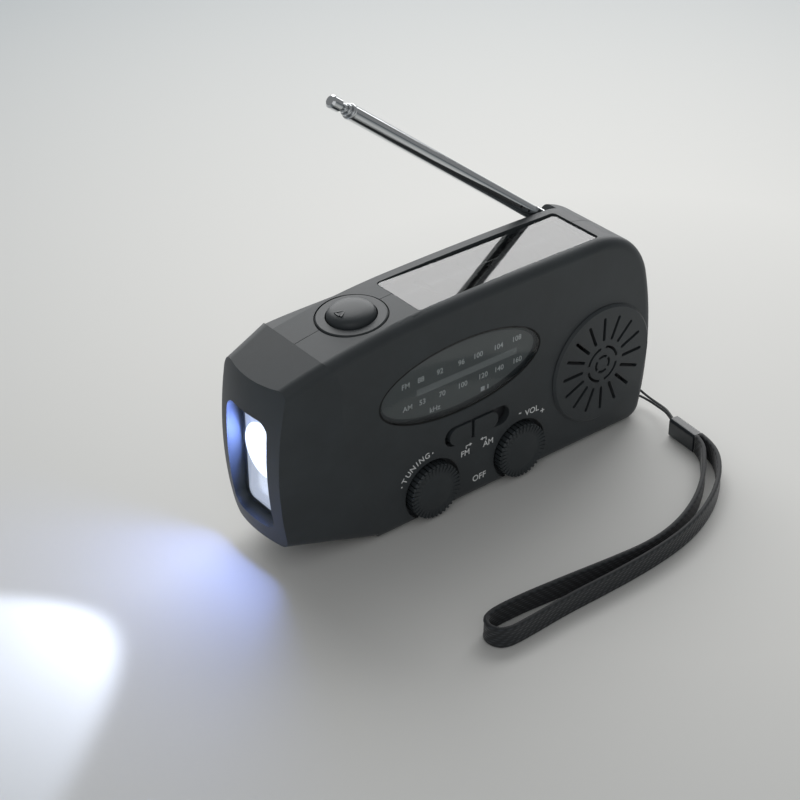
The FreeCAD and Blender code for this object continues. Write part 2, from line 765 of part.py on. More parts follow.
def torch_reflector():
    """Reflector block with a round bowl."""
    x0 = LENS_X + 0.1
    x1 = LENS_X + REFLECTOR_DEPTH
    block = torch_opening(-TORCH_LEDGE - 0.2, x0, x1)
    focus = BOWL_R ** 2 / (4 * BOWL_DEPTH)
    profile = [(x0 - 1.0, 0.0), (x0 - 1.0, BOWL_R)]
    for i in range(5):
        r = BOWL_R - (BOWL_R - LED_R - 0.3) * i / 4.0
        profile.append((x0 + BOWL_DEPTH - r * r / (4 * focus), r))
    profile.append((profile[-1][0], 0.0))
    corners = [V(px, HEAD_MID_Y, BOWL_Z + r) for px, r in profile]
    edges = Part.makePolygon(corners + corners[:1]).Edges
    bowl = Part.Face(Part.Wire(edges)).revolve(V(0, HEAD_MID_Y, BOWL_Z), V(1, 0, 0), 360)
    hole = rod_x(HEAD_MID_Y, BOWL_Z, LED_R + 0.3, x0, x1 + 1.0)
    return block.cut([bowl, hole])


def torch_led():
    """Lamp with a domed nose, standing on its board."""
    x1 = LENS_X + REFLECTOR_DEPTH + 0.2
    body = rod_x(HEAD_MID_Y, BOWL_Z, LED_R, x1 - LED_LENGTH, x1)
    dome = Part.makeSphere(LED_R, V(x1 - LED_LENGTH, HEAD_MID_Y, BOWL_Z))
    return body.fuse(dome).removeSplitter()


def torch_board():
    """Small board behind the reflector."""
    x0 = LENS_X + REFLECTOR_DEPTH + 0.2
    return torch_opening(-TORCH_LEDGE - 0.2, x0, x0 + TORCH_BOARD_T)


def gear_blank(teeth, module, x, z, y0, y1, phase):
    """Spur gear with straight-flanked teeth; one tooth centre stands at the phase angle, in degrees."""
    pitch_r = teeth * module / 2
    root_r = pitch_r - 1.2 * module
    tip_r = pitch_r + 0.9 * module
    step = 2 * math.pi / teeth
    half_root = step * (TOOTH_SHARE + 0.14) / 2
    half_tip = step * (TOOTH_SHARE - 0.2) / 2
    points = []
    for i in range(teeth):
        a = math.radians(phase) + i * step
        points.append(polar((x, z), root_r, a - half_root))
        points.append(polar((x, z), tip_r, a - half_tip))
        points.append(polar((x, z), tip_r, a + half_tip))
        points.append(polar((x, z), root_r, a + half_root))
    return plate_xz(points, y0, y1)


def idler_place():
    """Centre of the idler, left of the crank."""
    reach = (CRANK_TEETH + IDLER_PINION_TEETH) * CRANK_MODULE / 2
    return (CRANK_X - reach, CRANK_Z)


def rotor_place():
    """Centre of the dynamo rotor, off the idler."""
    reach = (IDLER_TEETH + ROTOR_TEETH) * IDLER_MODULE / 2
    return polar(idler_place(), reach, math.radians(ROTOR_ANGLE))


def crank_gear():
    """Large gear on the crank shaft, with a tooth pointing at the idler."""
    gear = gear_blank(CRANK_TEETH, CRANK_MODULE, CRANK_X, CRANK_Z, CRANK_GEAR_Y0, CRANK_GEAR_Y1, 180.0)
    bore = rod_y(CRANK_X, CRANK_Z, CRANK_SHAFT_R, 0, 30)
    dish = rod_y(CRANK_X, CRANK_Z, 11.5, CRANK_GEAR_Y0 - 1, CRANK_GEAR_Y0 + 0.7)
    hub = rod_y(CRANK_X, CRANK_Z, 5.0, CRANK_GEAR_Y0, CRANK_GEAR_Y1)
    return gear.cut(dish).fuse(hub).cut(bore).removeSplitter()


def idler_gear():
    """Compound idler: a pinion in the crank gear and a wheel that drives the rotor."""
    x, z = idler_place()
    gap = 180.0 / IDLER_PINION_TEETH
    pinion = gear_blank(IDLER_PINION_TEETH, CRANK_MODULE, x, z, IDLER_GEAR_Y1, CRANK_GEAR_Y1, gap)
    wheel = gear_blank(IDLER_TEETH, IDLER_MODULE, x, z, IDLER_GEAR_Y0, IDLER_GEAR_Y1, ROTOR_ANGLE)
    bore = rod_y(x, z, IDLER_SHAFT_R + 0.06, 0, 30)
    return wheel.fuse(pinion).cut(bore)


def dynamo_rotor():
    """Rotor: magnet drum, shaft and pinion."""
    x, z = rotor_place()
    facing = ROTOR_ANGLE + 180.0
    pinion = gear_blank(ROTOR_TEETH, IDLER_MODULE, x, z, IDLER_GEAR_Y0, IDLER_GEAR_Y1, facing + 180.0 / ROTOR_TEETH)
    y0 = FRAME_Y0 + FRAME_T
    shaft = rod_y(x, z, ROTOR_SHAFT_R, y0 + 0.2, IDLER_GEAR_Y1)
    drum = rod_y(x, z, ROTOR_R, y0 + STATOR_WALL + 0.3, y0 + STATOR_H - STATOR_WALL - 0.3)
    return pinion.fuse([shaft, drum]).removeSplitter()


def dynamo_stator():
    """Dynamo can round the rotor."""
    x, z = rotor_place()
    y0 = FRAME_Y0 + FRAME_T
    can = rod_y(x, z, STATOR_R, y0, y0 + STATOR_H)
    room = rod_y(x, z, ROTOR_R + 0.3, y0 + STATOR_WALL, y0 + STATOR_H - STATOR_WALL)
    bore = rod_y(x, z, ROTOR_SHAFT_R + 0.06, y0 - 1, y0 + STATOR_H + 1)
    return can.cut([room, bore])


def gear_frame():
    """Plate that carries the dynamo and the idler shaft."""
    y0 = FRAME_Y0
    y1 = FRAME_Y0 + FRAME_T
    plate = rounded_box(FRAME_X0, FRAME_X1, y0, y1, FRAME_Z0, FRAME_Z1, 3.0, "y")
    x, z = idler_place()
    shaft = rod_y(x, z, IDLER_SHAFT_R, y0, CASE_BACK_Y - BACK_WALL)
    collar = rod_y(x, z, 2.6, y1, IDLER_GEAR_Y0 - 0.15)
    cutters = [rod_y(px, pz, SCREW_R - 0.2, y0 - 1, y1 + 1) for px, pz in FRAME_POSTS]
    rotor = rotor_place()
    window = rounded_box(-4.0, 9.0, y0 - 1, y1 + 1, 18.0, 40.0, 3.0, "y")
    cutters.append(rod_y(rotor[0], rotor[1], 1.2, y0 - 1, y1))
    return plate.cut(cutters + [window]).fuse([shaft, collar]).removeSplitter()


def frame_screws():
    """Screws that hold the gear frame to its posts."""
    screws = []
    for x, z in FRAME_POSTS:
        head = rod_y(x, z, 1.8, FRAME_Y0 - 0.8, FRAME_Y0)
        stud = rod_y(x, z, SCREW_R - 0.3, FRAME_Y0, 6.0)
        screws.append(head.fuse(stud).removeSplitter())
    return Part.makeCompound(screws)


def case_screws():
    """Screws that close the case from the back."""
    screws = []
    for x, z in SCREW_POINTS:
        seat = CASE_BACK_Y - SCREW_SINK
        head = rod_y(x, z, SCREW_HEAD_R, seat, seat + SCREW_HEAD_H)
        stud = rod_y(x, z, SCREW_R, BOSS_TOP_Y - 7.0, seat)
        socket = box(x - 1.5, x + 1.5, seat + SCREW_HEAD_H - 0.7, seat + SCREW_HEAD_H + 1, z - 0.3, z + 0.3)
        cross = box(x - 0.3, x + 0.3, seat + SCREW_HEAD_H - 0.7, seat + SCREW_HEAD_H + 1, z - 1.5, z + 1.5)
        screws.append(head.fuse(stud).cut([socket, cross]).removeSplitter())
    return Part.makeCompound(screws)


def crank_face_y():
    """Inner face of the crank arm."""
    return CASE_BACK_Y + CRANK_GAP


def grip_y():
    """Height of the folded grip's centre line above the back."""
    return crank_face_y() + CRANK_T / 2 + 0.1


def crank_arm():
    """Flat arm with a slot that the grip folds into."""
    y0 = crank_face_y()
    y1 = y0 + CRANK_T
    end_x = CRANK_X + CRANK_REACH
    hub = rod_y(CRANK_X, CRANK_Z, CRANK_HUB_R, y0, y1)
    end = rod_y(end_x, CRANK_Z, CRANK_END_R, y0, y1)
    a = math.acos((CRANK_HUB_R - CRANK_END_R) / CRANK_REACH)
    spots = [polar((CRANK_X, CRANK_Z), CRANK_HUB_R, a), polar((end_x, CRANK_Z), CRANK_END_R, a),
             polar((end_x, CRANK_Z), CRANK_END_R, -a), polar((CRANK_X, CRANK_Z), CRANK_HUB_R, -a)]
    arm = hub.fuse([end, plate_xz(spots, y0, y1)]).removeSplitter()
    rims = [e for e in arm.Edges if abs(e.BoundBox.YMin - y1) < 0.001 and abs(e.BoundBox.YMax - y1) < 0.001]
    arm = arm.makeChamfer(1.0, rims)
    slot_start = end_x - GRIP_START - GRIP_LENGTH - STEM_CAP_END - CRANK_SLOT_GAP
    slot = box(slot_start, end_x + 3.6, y0 - 1, y1 + 1,
               CRANK_Z - CRANK_SLOT_HALF_W, CRANK_Z + CRANK_SLOT_HALF_W)
    shaft_hole = rod_y(CRANK_X, CRANK_Z, CRANK_SHAFT_R, y0 - 1, y1 - 1.6)
    pin_hole = rod_z(end_x, grip_y(), GRIP_PIN_R, CRANK_Z - CRANK_END_R + 0.6, CRANK_Z + CRANK_END_R - 0.6)
    return arm.cut([slot, shaft_hole, pin_hole])


def crank_shaft():
    """Shaft from the gear, through the bearing, into the arm."""
    return rod_y(CRANK_X, CRANK_Z, CRANK_SHAFT_R, CRANK_GEAR_Y0, crank_face_y() + CRANK_T - 1.6)


def grip_pin():
    """Hinge pin of the folding grip."""
    half = CRANK_END_R - 0.6
    return rod_z(CRANK_X + CRANK_REACH, grip_y(), GRIP_PIN_R, CRANK_Z - half, CRANK_Z + half)


def grip_stem():
    """Hinged stem that the grip turns on."""
    end_x = CRANK_X + CRANK_REACH
    y = grip_y()
    knuckle = rod_z(end_x, y, 3.0, CRANK_Z - CRANK_SLOT_HALF_W + 0.2, CRANK_Z + CRANK_SLOT_HALF_W - 0.2)
    stem = rod_x(y, CRANK_Z, STEM_R, end_x - GRIP_START - GRIP_LENGTH - 0.6, end_x)
    grip_end = end_x - GRIP_START - GRIP_LENGTH
    cap = rod_x(y, CRANK_Z, 2.4, grip_end - STEM_CAP_END, grip_end - 0.2)
    bore = rod_z(end_x, y, GRIP_PIN_R + 0.06, 0, 60)
    return knuckle.fuse([stem, cap]).cut(bore).removeSplitter()


def crank_grip():
    """Waisted sleeve that spins on the stem."""
    x1 = CRANK_X + CRANK_REACH - GRIP_START
    x0 = x1 - GRIP_LENGTH
    mid = (x0 + x1) / 2
    y = grip_y()
    z = CRANK_Z
    waist = GRIP_R - 0.6
    bore = STEM_R + 0.1
    profile = [(x0, bore), (x0, GRIP_R - 0.7), (x0 + 0.7, GRIP_R), (mid, waist),
               (x1 - 0.7, GRIP_R), (x1, GRIP_R - 0.7), (x1, bore)]
    corners = [V(px, y, z + r) for px, r in profile]
    edges = Part.makePolygon(corners + corners[:1]).Edges
    return Part.Face(Part.Wire(edges)).revolve(V(0, y, z), V(1, 0, 0), 360)


def antenna_place(shape):
    """Raise a shape built along -X from the pivot to the rest angle."""
    shape.rotate(V(0, 0, 0), V(0, 1, 0), ANTENNA_REST)
    shape.translate(V(PIVOT_X, PIVOT_Y, PIVOT_Z))
    return shape


def section_radius(index):
    """Outer radius of a telescopic section; section 0 is the outer tube."""
    return ANTENNA_TUBE_R - index * ANTENNA_STEP_R


def section_bore(index):
    """Bore of a section, a running clearance over the next one."""
    return section_radius(index + 1) + ANTENNA_PLAY


def antenna_base():
    """Hinge lug and outer tube."""
    lug = Part.makeCylinder(LUG_R, LUG_W, V(0, -LUG_W / 2, 0), V(0, 1, 0))
    neck = box(-LUG_NECK, 0.0, -LUG_W / 2, LUG_W / 2, -ANTENNA_TUBE_R, ANTENNA_TUBE_R)
    tube = rod_x(0, 0, ANTENNA_TUBE_R, -ANTENNA_TUBE_END, -LUG_NECK + 0.8)
    bore = rod_x(0, 0, section_bore(0), -ANTENNA_TUBE_END - 1, -LUG_NECK - 1.0)
    hole = Part.makeCylinder(PIN_R + 0.06, LUG_W + 2, V(0, -LUG_W / 2 - 1, 0), V(0, 1, 0))
    return antenna_place(lug.fuse([neck, tube]).cut([bore, hole]).removeSplitter())


def antenna_section(index):
    """Telescopic section; the last one is a rod with the tip knob."""
    start = -LUG_NECK - 1.4
    end = -ANTENNA_TUBE_END - index * ANTENNA_STEP_OUT
    body = rod_x(0, 0, section_radius(index), end, start)
    if index < ANTENNA_SECTIONS:
        bore = rod_x(0, 0, section_bore(index), end - 1, start + 1)
        return antenna_place(body.cut(bore))
    tip = rod_x(0, 0, ANTENNA_TIP_R, end - ANTENNA_TIP_L, end)
    tip = tip.makeChamfer(0.5, [e for e in tip.Edges if e.BoundBox.XLength < 0.001])
    return antenna_place(body.fuse(tip))


def antenna_pin():
    """Shoulder screw that carries the antenna, fixed in the wall of the rebate."""
    shank_end = PIVOT_Y + LUG_W / 2 + PIN_HEAD_GAP
    shank = rod_y(PIVOT_X, PIVOT_Z, PIN_R, PIVOT_Y - GROOVE_HALF_W - 1.4, shank_end)
    head = rod_y(PIVOT_X, PIVOT_Z, PIN_HEAD_R, shank_end, shank_end + PIN_HEAD_T)
    return shank.fuse(head).removeSplitter()


def solar_cell():
    """Cell plate on the floor of the solar pocket."""
    g = SOLAR_GAP
    return rounded_box(SOLAR_X0 + g, SOLAR_X1 - g, SOLAR_Y0 + g, SOLAR_Y1 - g,
                       SOLAR_FLOOR_Z, SOLAR_FLOOR_Z + SOLAR_CELL_T, SOLAR_CORNER_R, "z")


def solar_window():
    """Clear cover over the cells."""
    g = SOLAR_GAP
    z0 = SOLAR_FLOOR_Z + SOLAR_CELL_T
    return rounded_box(SOLAR_X0 + g, SOLAR_X1 - g, SOLAR_Y0 + g, SOLAR_Y1 - g,
                       z0, z0 + SOLAR_WINDOW_T, SOLAR_CORNER_R, "z")


def button_ring():
    """Bezel round the torch button."""
    ring = rod_z(0, 0, BEZEL_R, -BEZEL_DEPTH, BEZEL_RISE)
    rim = [e for e in ring.Edges if abs(e.BoundBox.ZMin - BEZEL_RISE) < 0.001]
    ring = ring.makeChamfer(0.3, rim)
    return at_button(ring.cut(rod_z(0, 0, BUTTON_R + BUTTON_PLAY, -10, 10)))


def torch_button():
    """Domed push button with the flange that keeps it in."""
    ledge = button_ledge()
    stem = rod_z(0, 0, BUTTON_R, ledge - 0.6, BUTTON_SIDE)
    bulge = BUTTON_DOME - BUTTON_SIDE
    sphere_r = (BUTTON_R ** 2 + bulge ** 2) / (2 * bulge)
    dome = Part.makeSphere(sphere_r, V(0, 0, BUTTON_DOME - sphere_r)).common(rod_z(0, 0, BUTTON_R, BUTTON_SIDE, 10))
    flange = rod_z(0, 0, BUTTON_FLANGE_R, ledge - 1.2, ledge - 0.3)
    return at_button(stem.fuse([dome, flange]).removeSplitter())


def press_switch():
    """Push switch under the torch button, with its plunger."""
    top = button_ledge() - 1.2 - BUTTON_TRAVEL - 0.15
    plunger = rod_z(0, 0, 1.4, top - 2.2, top)
    spot = at_button(plunger)
    z0 = BUTTON_BOARD_Z + 1.2
    body = box(BUTTON_X - 4.0, BUTTON_X + 4.0, BUTTON_Y - 4.0, BUTTON_Y + 4.0, z0, spot.BoundBox.ZMin + 0.5)
    return body.fuse(spot).removeSplitter()


def button_board():
    """Small board that the push switch stands on."""
    return box(BUTTON_X - 5.4, BUTTON_X + 5.4, BOARD_Y, BUTTON_Y + 6.0, BUTTON_BOARD_Z, BUTTON_BOARD_Z + 1.2)


def dial_window():
    """Clear elliptical window, flush with the front."""
    y0 = CASE_FRONT_Y + 0.1
    return ellipse_plate(DIAL_HALF_W - DIAL_GAP, DIAL_HALF_H - DIAL_GAP, y0, y0 + DIAL_WINDOW_T)


def dial_plate():
    """Printed plate behind the window, with the slot that the pointer runs in."""
    y0 = CASE_FRONT_Y + WALL
    grow = DIAL_PLATE_RIM - DIAL_LEDGE
    plate = ellipse_plate(DIAL_HALF_W + grow, DIAL_HALF_H + grow, y0, y0 + DIAL_PLATE_T)
    slot = box(SCALE_X0, SCALE_X1, y0 - 1, y0 + 2, SCALE_Z - SCALE_H / 2, SCALE_Z + SCALE_H / 2)
    return plate.cut(slot)


def dial_pointer():
    """Pointer and the carriage that the dial cord pulls."""
    plate_y = CASE_FRONT_Y + WALL
    w = POINTER_W / 2
    needle = box(POINTER_X - w, POINTER_X + w, plate_y - 0.6, plate_y - 0.2, SCALE_Z - 1.6, SCALE_Z + 1.6)
    neck = box(POINTER_X - w, POINTER_X + w, plate_y - 0.4, plate_y + DIAL_PLATE_T + 0.3, SCALE_Z - 0.45, SCALE_Z + 0.45)
    back_y = plate_y + DIAL_PLATE_T + 0.15
    block = box(POINTER_X - CARRIAGE_W / 2, POINTER_X + CARRIAGE_W / 2, back_y, BOARD_Y - 0.3,
                SCALE_Z - CARRIAGE_H / 2, SCALE_Z + CARRIAGE_H / 2)
    groove = rod_x(cord_y(), SCALE_Z, CORD_R + 0.25, POINTER_X - 9, POINTER_X + 9)
    return needle.fuse([neck, block]).cut(groove).removeSplitter()


def drum_y():
    """Front face of the cord drum."""
    return CASE_FRONT_Y + WELL_DEPTH + WELL_FLOOR + 0.2


def cord_y():
    """Plane of the dial cord."""
    return drum_y() + DRUM_T / 2


def cord_circles():
    """The drum and the two pulleys that the dial cord runs round, anticlockwise from the drum."""
    pulley_z = SCALE_Z - PULLEY_R - CORD_PLAY - CORD_R
    run = CORD_PLAY + CORD_R
    return [((TUNE_X, KNOB_Z), DRUM_R + run), ((PULLEY_RIGHT_X, pulley_z), PULLEY_R + run),
            ((PULLEY_LEFT_X, pulley_z), PULLEY_R + run)]


def dial_cord():
    """Closed cord round the drum and both pulleys."""
    circles = cord_circles()
    count = len(circles)
    normals = []
    for i in range(count):
        (c0, r0) = circles[i]
        (c1, r1) = circles[(i + 1) % count]
        dx = c1[0] - c0[0]
        dz = c1[1] - c0[1]
        reach = math.hypot(dx, dz)
        normals.append(math.atan2(dz, dx) - math.acos((r0 - r1) / reach))
    y = cord_y()
    edges = []
    for i in range(count):
        (c0, r0) = circles[i]
        (c1, r1) = circles[(i + 1) % count]
        p = polar(c0, r0, normals[i])
        q = polar(c1, r1, normals[i])
        edges.append(line((p[0], y, p[1]), (q[0], y, q[1])))
        turn = (normals[(i + 1) % count] - normals[i]) % (2 * math.pi)
        edges.append(arc_xz(c1, r1, normals[i], normals[i] + turn, y))
    path = Part.Wire(edges)
    start = edges[0].Vertexes[0].Point
    tangent = edges[0].tangentAt(edges[0].FirstParameter)
    across = V(-tangent.z, 0.0, tangent.x) * CORD_R
    deep = V(0.0, CORD_R, 0.0)
    corners = [start + across + deep, start + across - deep, start - across - deep, start - across + deep]
    ring = Part.makePolygon(corners + corners[:1])
    return path.makePipeShell([ring], True, False)


def dial_pulleys():
    """Two guide pulleys on pins in the circuit board."""
    pulleys = []
    for (x, z), r in cord_circles()[1:]:
        wheel = rod_y(x, z, PULLEY_R, cord_y() - 0.45, cord_y() + 0.45)
        flange = rod_y(x, z, PULLEY_R + 0.8, cord_y() - 0.75, cord_y() - 0.45)
        pin = rod_y(x, z, 0.7, cord_y() - 0.95, BOARD_Y)
        pulleys.append(wheel.fuse([flange, pin]).removeSplitter())
    return Part.makeCompound(pulleys)


def knob(x):
    """Knurled knob with a smooth raised cap."""
    y1 = CASE_FRONT_Y + WELL_DEPTH - KNOB_LIFT
    y0 = CASE_FRONT_Y - KNOB_RISE
    disc = rod_y(x, KNOB_Z, KNOB_R, y0, y1)
    edge = [e for e in disc.Edges if abs(e.BoundBox.YMin - y0) < 0.001 and e.BoundBox.YLength < 0.001]
    disc = disc.makeChamfer(0.5, edge)
    cutters = []
    for i in range(KNURLS):
        a = i * 2 * math.pi / KNURLS
        gap = KNOB_R * math.pi / KNURLS * 0.55
        notch = box(KNOB_R - KNURL_DEPTH, KNOB_R + 1, y0 - 1, y1 + 1, -gap / 2, gap / 2)
        notch.rotate(V(0, 0, 0), V(0, 1, 0), math.degrees(a))
        notch.translate(V(x, 0, KNOB_Z))
        cutters.append(notch)
    disc = disc.cut(cutters)
    sphere_r = (KNOB_CAP_R ** 2 + KNOB_CAP_RISE ** 2) / (2 * KNOB_CAP_RISE)
    cap = Part.makeSphere(sphere_r, V(x, y0 - KNOB_CAP_RISE + sphere_r, KNOB_Z))
    cap = cap.common(rod_y(x, KNOB_Z, KNOB_CAP_R, y0 - 5, y0 + 0.1))
    hub = rod_y(x, KNOB_Z, KNOB_SHAFT_R, y1 - 1.8, y1 + 1)
    return disc.fuse(cap).cut(hub).removeSplitter()


def knob_shaft(x, with_drum):
    """Shaft of a knob, with the cord drum on the tuning one."""
    y0 = CASE_FRONT_Y + WELL_DEPTH - KNOB_LIFT - 1.8
    shaft = rod_y(x, KNOB_Z, KNOB_SHAFT_R, y0, BOARD_Y + BOARD_T + 3.0)
    if not with_drum:
        return shaft
    drum = rod_y(x, KNOB_Z, DRUM_R, drum_y(), drum_y() + DRUM_T)
    return shaft.fuse(drum).removeSplitter()


def main_board():
    """Circuit board with holes for the shafts and a bite for the screw boss."""
    board = box(BOARD_X0, BOARD_X1, BOARD_Y, BOARD_Y + BOARD_T, BOARD_Z0, BOARD_Z1)
    cutters = [rod_y(x, KNOB_Z, KNOB_SHAFT_R + 0.3, BOARD_Y - 1, BOARD_Y + 3) for x in (TUNE_X, VOLUME_X)]
    for x, z in SCREW_POINTS:
        cutters.append(rod_y(x, z, SCREW_BOSS_R + 0.4, BOARD_Y - 1, BOARD_Y + 3))
    return board.cut(cutters)


def behind_board(x, width, height, depth):
    """Block on the back of the board round a knob shaft."""
    y0 = BOARD_Y + BOARD_T
    block = box(x - width / 2, x + width / 2, y0, y0 + depth, BOARD_Z0, BOARD_Z0 + height)
    return block.cut(rod_y(x, KNOB_Z, KNOB_SHAFT_R + SHAFT_PLAY, y0 - 1, y0 + 3.2))


def band_switch():
    """Slide switch behind the slot."""
    y0 = CASE_FRONT_Y + WALL + 0.3
    body = box(SWITCH_X0 - 1.0, SWITCH_X1 + 0.6, y0, drum_y() - 0.2, SWITCH_Z0 - 0.3, SWITCH_Z1 + 0.6)
    mid = (SWITCH_Z0 + SWITCH_Z1) / 2
    slot = box(-4.0, 4.0 + SLIDER_TRAVEL - 1.4, y0 - 1, y0 + 1.0, mid - 1.1, mid + 1.1)
    return body.cut(slot)


def band_slider():
    """Finger piece of the band switch, with a groove across it and a drive peg behind."""
    z0 = SWITCH_Z0 + SLIDER_PLAY
    z1 = SWITCH_Z1 - SLIDER_PLAY
    y0 = CASE_FRONT_Y - SLIDER_RISE
    y1 = CASE_FRONT_Y + WALL + 0.1
    body = stadium_x(SLIDER_X0, SLIDER_X1, z0, z1, y0, y1)
    body = body.cut(box(-3.2, -2.2, y0 - 1, y0 + 0.9, z0 - 1, z1 + 1))
    mid = (z0 + z1) / 2
    peg = box(-3.6, -1.6, y1 - 0.1, y1 + 0.9, mid - 0.8, mid + 0.8)
    return body.fuse(peg).removeSplitter()


def speaker_frame():
    """Pressed basket of the speaker."""
    y0 = CASE_FRONT_Y + WALL
    flange = rod_y(SPEAKER_X, SPEAKER_Z, SPEAKER_R, y0, y0 + SPEAKER_FLANGE)
    flange = flange.cut(rod_y(SPEAKER_X, SPEAKER_Z, SPEAKER_R - 2.2, y0 - 1, y0 + 5))
    y1 = y0 + SPEAKER_FLANGE
    y2 = y0 + CONE_DEPTH
    outer = Part.makeCone(SPEAKER_R - 0.8, MAGNET_R - 1.0, y2 - y1, V(SPEAKER_X, y1, SPEAKER_Z), V(0, 1, 0))
    inner = Part.makeCone(SPEAKER_R - 1.8, MAGNET_R - 2.0, y2 - y1, V(SPEAKER_X, y1, SPEAKER_Z), V(0, 1, 0))
    basket = outer.cut(inner)
    plate = rod_y(SPEAKER_X, SPEAKER_Z, MAGNET_R - 0.4, y2, y2 + 0.8)
    return flange.fuse([basket, plate]).removeSplitter()


def speaker_cone():
    """Paper cone with its dust cap."""
    y0 = CASE_FRONT_Y + WALL + SPEAKER_FLANGE
    depth = CONE_DEPTH - SPEAKER_FLANGE - 0.6
    outer = Part.makeCone(SPEAKER_R - 2.6, 4.0, depth, V(SPEAKER_X, y0, SPEAKER_Z), V(0, 1, 0))
    inner = Part.makeCone(SPEAKER_R - 3.2, 3.4, depth, V(SPEAKER_X, y0 - 0.001, SPEAKER_Z), V(0, 1, 0))
    cap = rod_y(SPEAKER_X, SPEAKER_Z, 4.0, y0 + depth, y0 + depth + 0.4)
    return outer.cut(inner).fuse(cap)


def speaker_magnet():
    """Ring magnet behind the basket."""
    y0 = CASE_FRONT_Y + WALL + CONE_DEPTH + 0.8
    return rod_y(SPEAKER_X, SPEAKER_Z, MAGNET_R, y0, y0 + MAGNET_H)


def battery_pack():
    """Cells side by side behind the speaker."""
    y = CASE_BACK_Y - BACK_WALL - CELL_R - 0.1
    cells = []
    for i in range(CELLS):
        x = CELL_X + i * CELL_PITCH
        body = rod_z(x, y, CELL_R, CELL_Z, CELL_Z + CELL_LENGTH)
        nub = rod_z(x, y, 1.6, CELL_Z + CELL_LENGTH, CELL_Z + CELL_LENGTH + 0.8)
        cells.append(body.fuse(nub))
    return Part.makeCompound(cells)


def charge_board():
    """Board under the charging socket."""
    z1 = SOCKET_Z - SOCKET_H / 2
    return box(SOCKET_X - 5.4, SOCKET_X + 5.0, 3.0, CASE_BACK_Y - BACK_WALL - 0.2, z1 - 1.4, z1)


def charge_socket():
    """Charging socket, open to the back."""
    z0 = SOCKET_Z - SOCKET_H / 2
    y1 = CASE_BACK_Y - BACK_WALL + 0.4
    g = 0.15
    shell = stadium_x(SOCKET_X - SOCKET_W / 2 + g, SOCKET_X + SOCKET_W / 2 - g, z0, z0 + SOCKET_H - g,
                      y1 - SOCKET_DEPTH, y1)
    w = 0.5
    hole = stadium_x(SOCKET_X - SOCKET_W / 2 + g + w, SOCKET_X + SOCKET_W / 2 - g - w, z0 + w, z0 + SOCKET_H - g - w,
                     y1 - SOCKET_DEPTH + 1.0, y1 + 1)
    return shell.cut(hole)


def socket_cover():
    """Rubber flap over the charging socket."""
    return rounded_box(SOCKET_X - COVER_W / 2, SOCKET_X + COVER_W / 2, CASE_BACK_Y - COVER_T + 0.1, CASE_BACK_Y + 0.2,
                       SOCKET_Z - COVER_H / 2, SOCKET_Z + COVER_H / 2, 0.8, "y")


def strap_bar():
    """Bar in the speaker end that the strap thread goes round."""
    half = EYE_HALF + BAR_SEAT
    return rod_y(BAR_X, BAR_Z, BAR_R, BAR_Y - half, BAR_Y + half)


def rounded_path(points):
    """Straight runs joined by tangent arcs, each as large as its two runs allow."""
    radii = []
    edges = []
    here = points[0]
    for i in range(1, len(points) - 1):
        before = points[i - 1].sub(points[i])
        after = points[i + 1].sub(points[i])
        run = min(before.Length, after.Length)
        turn = math.pi - before.getAngle(after)
        back = 0.45 * run
        radii.append(back / math.tan(turn / 2))
        p = points[i] + before.normalize() * back
        q = points[i] + after.normalize() * back
        inward = (before + after).normalize()
        to_mid = back / math.cos((math.pi - turn) / 2) - radii[-1]
        mid = points[i] + inward * to_mid
        edges.append(Part.LineSegment(here, p).toShape())
        edges.append(Part.Arc(p, mid, q).toShape())
        here = q
    edges.append(Part.LineSegment(here, points[-1]).toShape())
    return Part.Wire(edges), radii


def strap_thread():
    """Thin doubled thread: out of the clasp, round the strap bar and back."""
    path, radii = rounded_path([V(*p) for p in THREAD_ROUTE])
    first = path.Edges[0]
    ring = Part.Wire(Part.Circle(first.Vertexes[0].Point, first.tangentAt(first.FirstParameter), THREAD_R).toShape())
    tube = path.makePipeShell([ring], True, False)
    print("thread radii", [round(r, 1) for r in radii], "length", round(path.Length, 1),
          "volume share", round(tube.Volume / (math.pi * THREAD_R ** 2 * path.Length), 3))
    return tube


def strap_band():
    """Flat woven band standing on its edge in one long loop, out of the clasp and back into it."""
    path, radii = rounded_path([V(x, y, 0.0) for x, y in BAND_ROUTE])
    first = path.Edges[0]
    start = first.Vertexes[0].Point
    along = first.tangentAt(first.FirstParameter)
    side = V(-along.y, along.x, 0.0) * (BAND_T / 2)
    rise = V(0, 0, BAND_W)
    corners = [start + side, start - side, start - side + rise, start + side + rise]
    profile = Part.makePolygon(corners + corners[:1])
    strip = path.makePipeShell([profile], True, False)
    print("band radii", [round(r, 1) for r in radii], "length", round(path.Length, 1),
          "volume share", round(strip.Volume / (BAND_T * BAND_W * path.Length), 3))
    return strip


def strap_clasp():
    """Moulded clasp between the thread and the band."""
    dx = CLASP_FRONT[0] - CLASP_BACK[0]
    dy = CLASP_FRONT[1] - CLASP_BACK[1]
    length = math.hypot(dx, dy)
    block = box(0, length, -CLASP_W / 2, CLASP_W / 2, 0.0, CLASP_H)
    edges = [e for e in block.Edges if e.BoundBox.XLength > length - 0.01]
    block = block.makeFillet(CLASP_EDGE_R, edges)
    block.rotate(V(0, 0, 0), V(0, 0, 1), math.degrees(math.atan2(dy, dx)))
    block.translate(V(CLASP_BACK[0], CLASP_BACK[1], 0))
    return block


